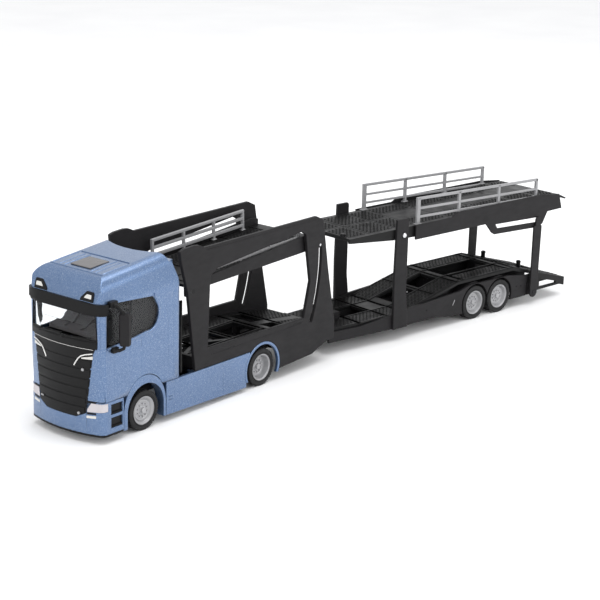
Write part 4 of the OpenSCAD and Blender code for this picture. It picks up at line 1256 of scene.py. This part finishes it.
@dataclass
class TruckFrame:
    """The truck's side frames, its two decks and what shows behind the cab."""

    truck: Local
    body: str
    deck_body: str
    hinge: Flat = (-35.7, 66.3)
    slide_x: float = -141.8
    tilt: float = 2.54

    @property
    def deck(self) -> Local:
        """The upper deck's own frame, with its hinge at the origin."""
        place = self.truck.matrix @ Vector((self.hinge[0], 0.0, self.hinge[1]))
        return Local(place, self.truck.heading, radians(self.tilt))

    def floor(self, x: float) -> float:
        """Returns the lower deck's height at a station."""
        return 26.0 if x >= -112 else 26.0 + 5.6 * (x + 112) / 43.5

    def build(self) -> None:
        """Builds every piece."""
        self.frames()
        self.lower_deck()
        self.upper_deck()
        self.pins()
        self.skirts()

    def frames(self) -> None:
        """Cuts the fine lines into the side frames and adds what stands between cab and frame."""
        for side, hand in ((1, "left"), (-1, "right")):
            line = Shape("chord_line", self.truck)
            y = side * 26.0
            line.wire([(-46.0, y, 86.6), (-137.0, y, 86.6)], 0.13, 6)
            edge = Shape("foot_line", self.truck)
            edge.wire([(-50.0, y, 28.6), (-126.0, y, 28.6)], 0.12, 6)
            Moulding("side_frame_" + hand).soften(0.28).carve(line.as_object(), edge.as_object()).finish()
        back = Shape("cab_back_ladder", self.truck)
        for y in (17.5, 22.5):
            back.bar((-30.6, y - 0.5, 23.0), (-29.4, y + 0.5, 62.0))
        for z in range(27, 62, 5):
            back.bar((-30.8, 17.2, z - 0.5), (-29.2, 22.8, z + 0.5))
        back.block((-33.0, -18.0, 22.0), (-29.0, 16.0, 30.0), 0.6)
        back.block((-31.8, -14.0, 30.0), (-29.2, 12.0, 52.0), 0.5)
        for y in (-10, -5, 0, 5):
            back.wire([(-31.4, y, 30.0), (-33.4, y, 40.0), (-31.4, y, 50.0)], 0.7, 8)
        back.finish(self.body, Slot.BLACK)

    def lower_deck(self) -> None:
        """Adds ribs, treads and a belly plate to the lower deck."""
        Moulding("truck_lower_deck").soften(0.15).finish(BLACK)
        ribs = Shape("truck_lower_deck_ribs", self.truck)
        for x in (-46, -61, -86, -110, -130):
            ribs.bar((x - 0.4, -23.6, self.floor(x) - 0.3), (x + 0.4, 23.6, self.floor(x) + 0.45))
        for y in (10.6, 22.4):
            ribs.bar((-110.0, y - 0.4, 25.7), (-44.0, y + 0.4, 26.5))
        tread = TreadPlate()
        tread.lay(ribs, (-109.0, -87.0), (11.4, 21.6), self.floor)
        tread.lay(ribs, (-83.0, -63.0), (11.4, 21.6), self.floor)
        tread.lay(ribs, (-154.0, -131.0), (3.0, 21.6), self.floor)
        ribs.mirror_over()
        ribs.finish(self.body, Slot.BLACK, TREAD)
        belly = Shape("truck_belly_plate", self.truck)
        belly.block((-150.0, -13.0, 15.0), (-44.0, 13.0, 16.2), 0.2)
        belly.block((-131.0, 3.0, 14.6), (-113.0, 23.4, 15.8), 0.2)
        belly.block((-131.0, -23.4, 14.6), (-113.0, -3.0, 15.8), 0.2)
        belly.wire([(-148.0, 4.0, 17.4), (-60.0, 4.0, 17.4)], 1.0, 8)
        belly.finish(self.body, Slot.BLACK)

    def upper_deck(self) -> None:
        """Adds treads and edge ribs to the upper deck and dresses its bands and rails."""
        Moulding("truck_upper_deck").soften(0.15).finish(BLACK)
        ribs = Shape("truck_upper_deck_ribs", self.deck)
        for x in (-2, -20, -46, -74, -100):
            ribs.bar((x - 0.35, -21.4, 3.2), (x + 0.35, 21.4, 3.75))
        ribs.bar((-107.0, 8.0, 3.2), (0.0, 8.6, 3.75))
        tread = TreadPlate()
        for start, end in ((-45.0, -21.0), (-73.0, -47.0), (-99.0, -75.0)):
            tread.lay(ribs, (start, end), (9.2, 18.8), lambda x: 3.4)
        ribs.mirror_over()
        ribs.finish(self.deck_body, Slot.BLACK, TREAD)
        for hand in ("left", "right"):
            Moulding("truck_deck_band_" + hand).soften(0.25).finish(CHARCOAL)
        Moulding("truck_deck_rails").soften(0.3).finish(GREY)

    def pins(self) -> None:
        """Adds the dark hinge pegs and the small rivets with their washers."""
        pins = Shape("truck_deck_pin_ends", self.deck)
        pegs = Shape("truck_deck_pegs", self.deck)
        length = (self.hinge[0] - self.slide_x) / cos(radians(self.tilt))
        pegs.lathe([(0.0, 0.0), (1.25, 0.0), (1.35, -0.15), (1.35, -1.2), (0.0, -1.2)], (0.0, 25.98, 0.0),
                   Axis.Y, 28)
        pegs.lathe([(0.0, 0.0), (1.55, 0.0), (1.7, -0.15), (1.7, -0.5), (0.0, -0.5)], (-length, 25.9, 0.0),
                   Axis.Y, 28)
        pins.lathe([(0.0, 0.12), (0.5, 0.08), (0.85, -0.1), (0.95, -0.3), (0.95, -3.2), (0.0, -3.2)],
                   (-length, 25.95, 0.0), Axis.Y, 28)
        pins.lathe([(0.0, -0.6), (0.95, -0.6), (0.95, -3.0), (0.0, -3.0)], (0.0, 25.9, 0.0), Axis.Y, 28)
        pins.mirror_over()
        pegs.mirror_over()
        pins.finish(self.deck_body, Slot.STEEL, STEEL, ("truck_deck_pins",))
        pegs.finish(self.deck_body, Slot.BLACK)

    def skirts(self) -> None:
        """Cuts the panel lines and small slots into the painted skirts."""
        cutters = []
        for side in (1, -1):
            y = side * 26.05
            for path in ([(-21.5, y, 21.8), (-21.5, y, 4.2)], [(-60.0, y, 21.8), (-60.0, y, 4.2)],
                         [(-22.0, y, 6.2), (-74.0, y, 6.2)]):
                cut = Shape("line", self.truck)
                cut.wire(path, 0.14, 6)
                cutters.append(cut.as_object())
            for z in (11.6, 13.4):
                cut = Shape("slot", self.truck)
                cut.block((-20.2, min(y, y - side * 0.8), z), (-17.4, max(y, y - side * 0.8), z + 0.5), 0.0)
                cutters.append(cut.as_object())
        Moulding("side_skirts").soften(0.25).carve(*cutters).finish()
        Moulding("front_arches").soften(0.3).finish()
        Moulding("rear_arch_trims").soften(0.3).finish()


@dataclass
class Trailer:
    """The trailer's floors, skirts, posts, ramp, hinged upper deck and guard rails."""

    trailer: Local
    body: str
    deck_body: str
    hump: Flat = (-270.0, 26.4)
    well: Flat = (-222.0, 16.0)

    def shape(self, name: str) -> Shape:
        """Starts a piece in the trailer's frame."""
        return Shape(name, self.trailer)

    def floor(self, x: float) -> float:
        """Returns the lower floor's height at a station."""
        if x >= self.well[0]:
            return self.well[1]
        if x >= self.hump[0]:
            rise, run = self.hump[1] - self.well[1], self.well[0] - self.hump[0]
            return self.well[1] + rise * (self.well[0] - x) / run
        if x >= -322.0:
            return self.hump[1]
        return 26.4 - 14.4 * (-322.0 - x) / 50.8

    def deck(self, x: float) -> float:
        """Returns the upper deck's height at a station."""
        if x >= -266.0:
            return 69.0
        if x >= -341.0:
            return 69.0 + 1.4 * (-266.0 - x) / 75.0
        return 70.4 - 1.2 * (-341.0 - x) / 20.0

    def sloped(self, shape: Shape, xs: Flat, ys: Flat, level: Callable[[float], float], rise: float) -> None:
        """Adds a low bar that follows a floor between two stations.

        Args:
            shape: the piece in progress.
            xs: its two ends.
            ys: its two sides.
            level: gives the floor's height at a station.
            rise: how far it stands above the floor.
        """
        shape.loft([section(x, ys, (level(x) - 0.3, level(x) + rise)) for x in xs])

    def build(self) -> None:
        """Builds every piece."""
        self.floors()
        self.under()
        self.skirts()
        self.upper_deck()
        self.rails()
        self.pins()

    def floors(self) -> None:
        """Adds borders and treads to the lower floor."""
        ribs = self.shape("trailer_floor_ribs")
        for x in (-163.2, -185.0, -207.5, -221.5, -249.0, -269.0, -274.5, -317.0, -322.5, -342.0):
            half = 19.8 if x > -170 else 22.3
            self.sloped(ribs, (x - 0.4, x + 0.4), (-half, half), self.floor, 0.5)
        for start, end in ((-221.0, -186.0), (-268.0, -222.5), (-321.0, -270.5), (-341.0, -323.0)):
            for y in (8.2, 21.7):
                self.sloped(ribs, (start, end), (y - 0.35, y + 0.35), self.floor, 0.45)
        tread = TreadPlate()
        for start, end in ((-184.0, -165.0), (-206.5, -186.0), (-220.8, -208.5), (-248.2, -223.0),
                           (-268.0, -250.0), (-316.0, -275.5), (-341.0, -323.5), (-370.5, -344.0)):
            low = 11.6 if start in (-316.0, -341.0, -370.5) else 9.2
            tread.lay(ribs, (start, end), (low, 18.6 if start == -184.0 else 21.0), self.floor)
        ribs.mirror_over()
        ribs.finish(self.body, Slot.BLACK, TREAD)
        for node in ("trailer_well_floor", "trailer_hump_floor", "rear_ramp"):
            Moulding(node).soften(0.15).finish(BLACK)
        pegs = self.shape("trailer_stop_pegs")
        for y in (-15.0, 15.0):
            pegs.lathe([(0.0, 5.4), (0.9, 5.3), (1.5, 4.9), (1.6, 4.2), (1.4, 3.8), (1.4, 0.0), (0.0, 0.0)],
                       (-336.0, y, self.floor(-336.0) - 0.4), Axis.Z, 24)
        pegs.finish(self.body, Slot.BLACK)

    def under(self) -> None:
        """Closes the floor's holes from below with a dark belly plate and adds the inner webs."""
        belly = self.shape("trailer_belly_plate")
        belly.block((-341.0, -13.8, 6.6), (-172.0, 13.8, 7.6), 0.2)
        belly.block((-262.0, -22.4, 12.0), (-224.0, -13.0, 13.0), 0.2)
        belly.block((-262.0, 13.0, 12.0), (-224.0, 22.4, 13.0), 0.2)
        for y in (-21.6, 21.0):
            belly.plate([(-222.0, 9.0), (-222.0, 15.4), (-262.0, 24.0), (-262.0, 9.0)], Axis.Y, y, 0.6, 0.0)
        belly.finish(self.body, Slot.BLACK)

    def skirts(self) -> None:
        """Cuts the small slots into the skirts and adds the marks on them."""
        for side, hand in ((1, "left"), (-1, "right")):
            cutters = []
            y = side * 24.3
            for x, z in ((-324.0, 13.4), (-328.4, 13.0), (-240.0, 13.4)):
                cut = self.shape("slot")
                cut.block((x - 0.6, y - 0.5, z), (x + 0.6, y + 0.2, z + 1.1), 0.0)
                cutters.append(cut.as_object())
            line = self.shape("line")
            line.wire([(-210.0, y, 9.2), (-248.0, y, 9.2)], 0.12, 6)
            cutters.append(line.as_object())
            Moulding("trailer_skirt_" + hand).soften(0.2).carve(*cutters).finish(CHARCOAL)
        mark = self.shape("trailer_skirt_marks")
        mark.wire([(-263.6, 24.3, 12.6), (-265.4, 24.3, 15.8)], 0.22, 8)
        mark.mirror_over()
        mark.finish(self.body, Slot.RIM, RIM)
        Moulding("trailer_front_posts").soften(0.25).finish(CHARCOAL)
        foot = self.shape("trailer_post_feet")
        foot.plate([(-209.4, 8.2), (-209.4, 26.0), (-210.2, 26.0), (-212.0, 12.0), (-220.0, 8.2)], Axis.Y,
                   24.0, 1.6, 0.1)
        foot.mirror_over()
        foot.finish(self.body, Slot.BLACK, CHARCOAL)

    def upper_deck(self) -> None:
        """Cuts the panel lines into the upper deck and lays its treads."""
        cutters = []
        across = ((-191.5, -190.9, 22.0), (-190.3, -189.9, 22.0), (-213.0, -212.4, 22.0),
                  (-229.6, -229.0, 24.0), (-258.5, -258.0, 24.0), (-290.0, -289.5, 24.0),
                  (-320.0, -319.5, 24.0))
        rows = [((back, front), (-half, half)) for back, front, half in across]
        rows += [((-229.0, -174.0), (-0.25, 0.25)), ((-319.5, -229.6), (7.6, 8.1)),
                 ((-319.5, -229.6), (-8.1, -7.6))]
        for xs, ys in rows:
            cut = self.shape("groove")
            steps = [xs[0] + (xs[1] - xs[0]) * k / 6 for k in range(7)] if xs[1] - xs[0] > 5 else xs
            cut.loft([section(x, ys, (self.deck(x) - 0.4, self.deck(x) + 1)) for x in steps])
            cutters.append(cut.as_object())
        Moulding("trailer_upper_deck").soften(0.2).carve(*cutters).finish(BLACK)
        tread = TreadPlate()
        ribs = self.shape("trailer_upper_deck_treads")
        for start, end in ((-188.8, -175.0), (-211.6, -192.6), (-228.2, -214.0)):
            tread.lay(ribs, (start, end), (1.6, 20.6), self.deck)
        for start, end in ((-257.0, -231.0), (-288.4, -260.0), (-318.6, -291.6), (-340.0, -322.0),
                           (-359.0, -343.0)):
            tread.lay(ribs, (start, end), (9.4, 20.8), self.deck)
        ribs.mirror_over()
        ribs.bar((-173.6, -20.0, 68.8), (-172.9, 20.0, 69.4))
        ribs.finish(self.deck_body, Slot.BLACK, TREAD)
        knob = self.shape("trailer_deck_knob")
        knob.lathe([(0.0, 2.0), (1.2, 1.9), (1.8, 1.3), (1.8, 0.4), (1.4, 0.0), (0.0, 0.0)],
                   (-174.6, 16.0, 68.8), Axis.Z, 24)
        knob.finish(self.deck_body, Slot.BLACK)
        for hand in ("left", "right"):
            Moulding("trailer_beam_" + hand).soften(0.3).finish(CHARCOAL)
            Moulding("prop_" + hand).soften(0.25).finish(CHARCOAL)

    def rails(self) -> None:
        """Builds the two sloping guard rails with their posts and foot flanges."""
        front, back = -229.0, -340.6
        slope = 3.3 / (front - back)
        posts = [front - 1.4, -266.6, -303.2, back + 1.0]
        for side, hand in ((1, "left"), (-1, "right")):
            rail = self.shape(f"guard_rail_{hand}_sloped")
            y = side * 22.6
            for z, thick in ((84.6, 1.5), (78.6, 1.25), (73.4, 1.25)):
                across = (y - thick / 2, y + thick / 2)
                level = {x: z - slope * (front - x) for x in (front, back)}
                rail.loft([section(x, across, (h - thick / 2, h + thick / 2)) for x, h in level.items()])
            for i, x in enumerate(posts):
                wide = 2.7 if i == 0 else 1.9
                low, half = self.deck(x) - 0.2, wide / 2
                rail.bar((x - half, y - 0.75, low), (x + half, y + 0.75, 85.2 - slope * (front - x)))
                rail.bar((x - half - 1.0, y - 1.4, low), (x + half + 1.0, y + 1.2, self.deck(x) + 0.5))
            rail.soften(rail.bm.verts[:], 0.16, 2, 50.0)
            rail.finish(self.deck_body, Slot.GREY, GREY, ("guard_rail_" + hand,))

    def pins(self) -> None:
        """Adds the bright rivets on dark washers."""
        pins = self.shape("trailer_deck_rivets")
        pins.lathe([(0.0, 0.75), (0.8, 0.68), (1.35, 0.4), (1.5, 0.1), (1.0, 0.0), (1.0, -4.0), (0.0, -4.0)],
                   (-216.0, 26.1, 65.0), Axis.Y, 32)
        pins.mirror_over()
        pins.finish(self.deck_body, Slot.STEEL, STEEL, ("trailer_deck_pins",))
        washer = self.shape("trailer_rivet_washers")
        washer.lathe([(1.05, 0.2), (2.1, 0.2), (2.3, 0.0), (2.3, -0.3), (1.05, -0.3), (1.05, 0.2)],
                     (-216.0, 26.02, 65.0), Axis.Y, 32)
        washer.mirror_over()
        washer.finish(self.body, Slot.BLACK)


@dataclass
class Studio:
    """The pale floor, the soft lights and the camera."""

    camera_place: Point = (773.72, 591.61, 318.69)
    camera_turn: float = 38.34
    camera_rise: float = 16.56
    camera_roll: float = 1.45
    lens: float = 104.27
    floor_half: float = 9000.0

    def build(self) -> None:
        """Builds the floor, the lights, the world and the camera."""
        self.floor()
        self.world()
        self.lights()
        self.camera()

    def floor(self) -> None:
        """Makes the pale floor."""
        bm = bmesh.new()
        bmesh.ops.create_grid(bm, x_segments=8, y_segments=8, size=self.floor_half * MM)
        mesh = bpy.data.meshes.new("studio_floor")
        bm.to_mesh(mesh)
        bm.free()
        floor = bpy.data.objects.new("studio_floor", mesh)
        bpy.context.scene.collection.objects.link(floor)
        g = Graph("pale_floor")
        g.join(g.ramp(g.noise(9.0, 3.0), (0.86, 0.86, 0.865), (0.90, 0.90, 0.90), 0.3, 0.7), "Color",
               g.shader, "Base Color")
        g.shader.inputs["Roughness"].default_value = 0.85
        g.shader.inputs["Specular IOR Level"].default_value = 0.2
        mesh.materials.append(g.material)

    def world(self) -> None:
        """Lights the room evenly."""
        world = bpy.data.worlds.new("studio")
        world.use_nodes = True
        background = world.node_tree.nodes["Background"]
        background.inputs["Color"].default_value = (0.985, 0.99, 1.0, 1)
        background.inputs["Strength"].default_value = 1.0
        scene = bpy.context.scene
        scene.world = world
        scene.view_settings.view_transform = "Standard"
        scene.view_settings.look = "None"

    def softbox(self, name: str, place: Point, aim: Point, size: Flat, power: float) -> None:
        """Adds one soft area light.

        Args:
            name: its name.
            place: where it stands, in millimetres.
            aim: the point that it faces, in millimetres.
            size: its width and height, in millimetres.
            power: its power, in watts.
        """
        light = bpy.data.lights.new(name, "AREA")
        light.shape = "RECTANGLE"
        light.size, light.size_y = size[0] * MM, size[1] * MM
        light.energy = power
        lamp = bpy.data.objects.new(name, light)
        lamp.location = Vector(place) * MM
        lamp.rotation_euler = (Vector(aim) - Vector(place)).to_track_quat("-Z", "Y").to_euler()
        bpy.context.scene.collection.objects.link(lamp)

    def lights(self) -> None:
        """Hangs the softboxes."""
        middle = (0.0, 0.0, 40.0)
        self.softbox("top_softbox", (-60, 120, 1150), middle, (1100, 900), 8.5)
        self.softbox("side_softbox", (-250, 1150, 520), middle, (900, 500), 4.5)
        self.softbox("front_softbox", (1150, 150, 420), middle, (600, 500), 2.6)

    def camera(self) -> None:
        """Sets the camera on the truck's front left."""
        turn, rise, roll = (radians(a) for a in (self.camera_turn, self.camera_rise, self.camera_roll))
        back = Vector((cos(rise) * cos(turn), cos(rise) * sin(turn), sin(rise)))
        right = (-back).cross(Vector((0, 0, 1))).normalized()
        up = right.cross(-back)
        level = Matrix((right * cos(roll) + up * sin(roll), up * cos(roll) - right * sin(roll), back))
        data = bpy.data.cameras.new("camera")
        data.sensor_width = 36.0
        data.lens = self.lens
        data.clip_start = 0.01
        camera = bpy.data.objects.new("camera", data)
        camera.matrix_world = Matrix.Translation(Vector(self.camera_place) * MM) @ level.transposed().to_4x4()
        bpy.context.scene.collection.objects.link(camera)
        bpy.context.scene.camera = camera


def main() -> None:
    """Builds the studio and each sub-assembly in order."""
    logging.basicConfig(level=logging.INFO, format="%(message)s")
    Studio().build()
    truck = axle_frame("front_axle", "rear_axle", 0.0)
    trailer = axle_frame("bogie_front_axle", "bogie_rear_axle", BOGIE[0])
    Axles(truck, trailer).build()
    Cab(truck, BODY_OF["cab_shell"]).build()
    TruckFrame(truck, BODY_OF["side_frame_left"], BODY_OF["truck_upper_deck"]).build()
    Trailer(trailer, BODY_OF["trailer_hump_floor"], BODY_OF["trailer_upper_deck"]).build()
    PlainMouldings(nodes=[name for name, node in frame["nodes"].items() if not node.hide_render]).build()


if __name__ == "__main__":
    main()
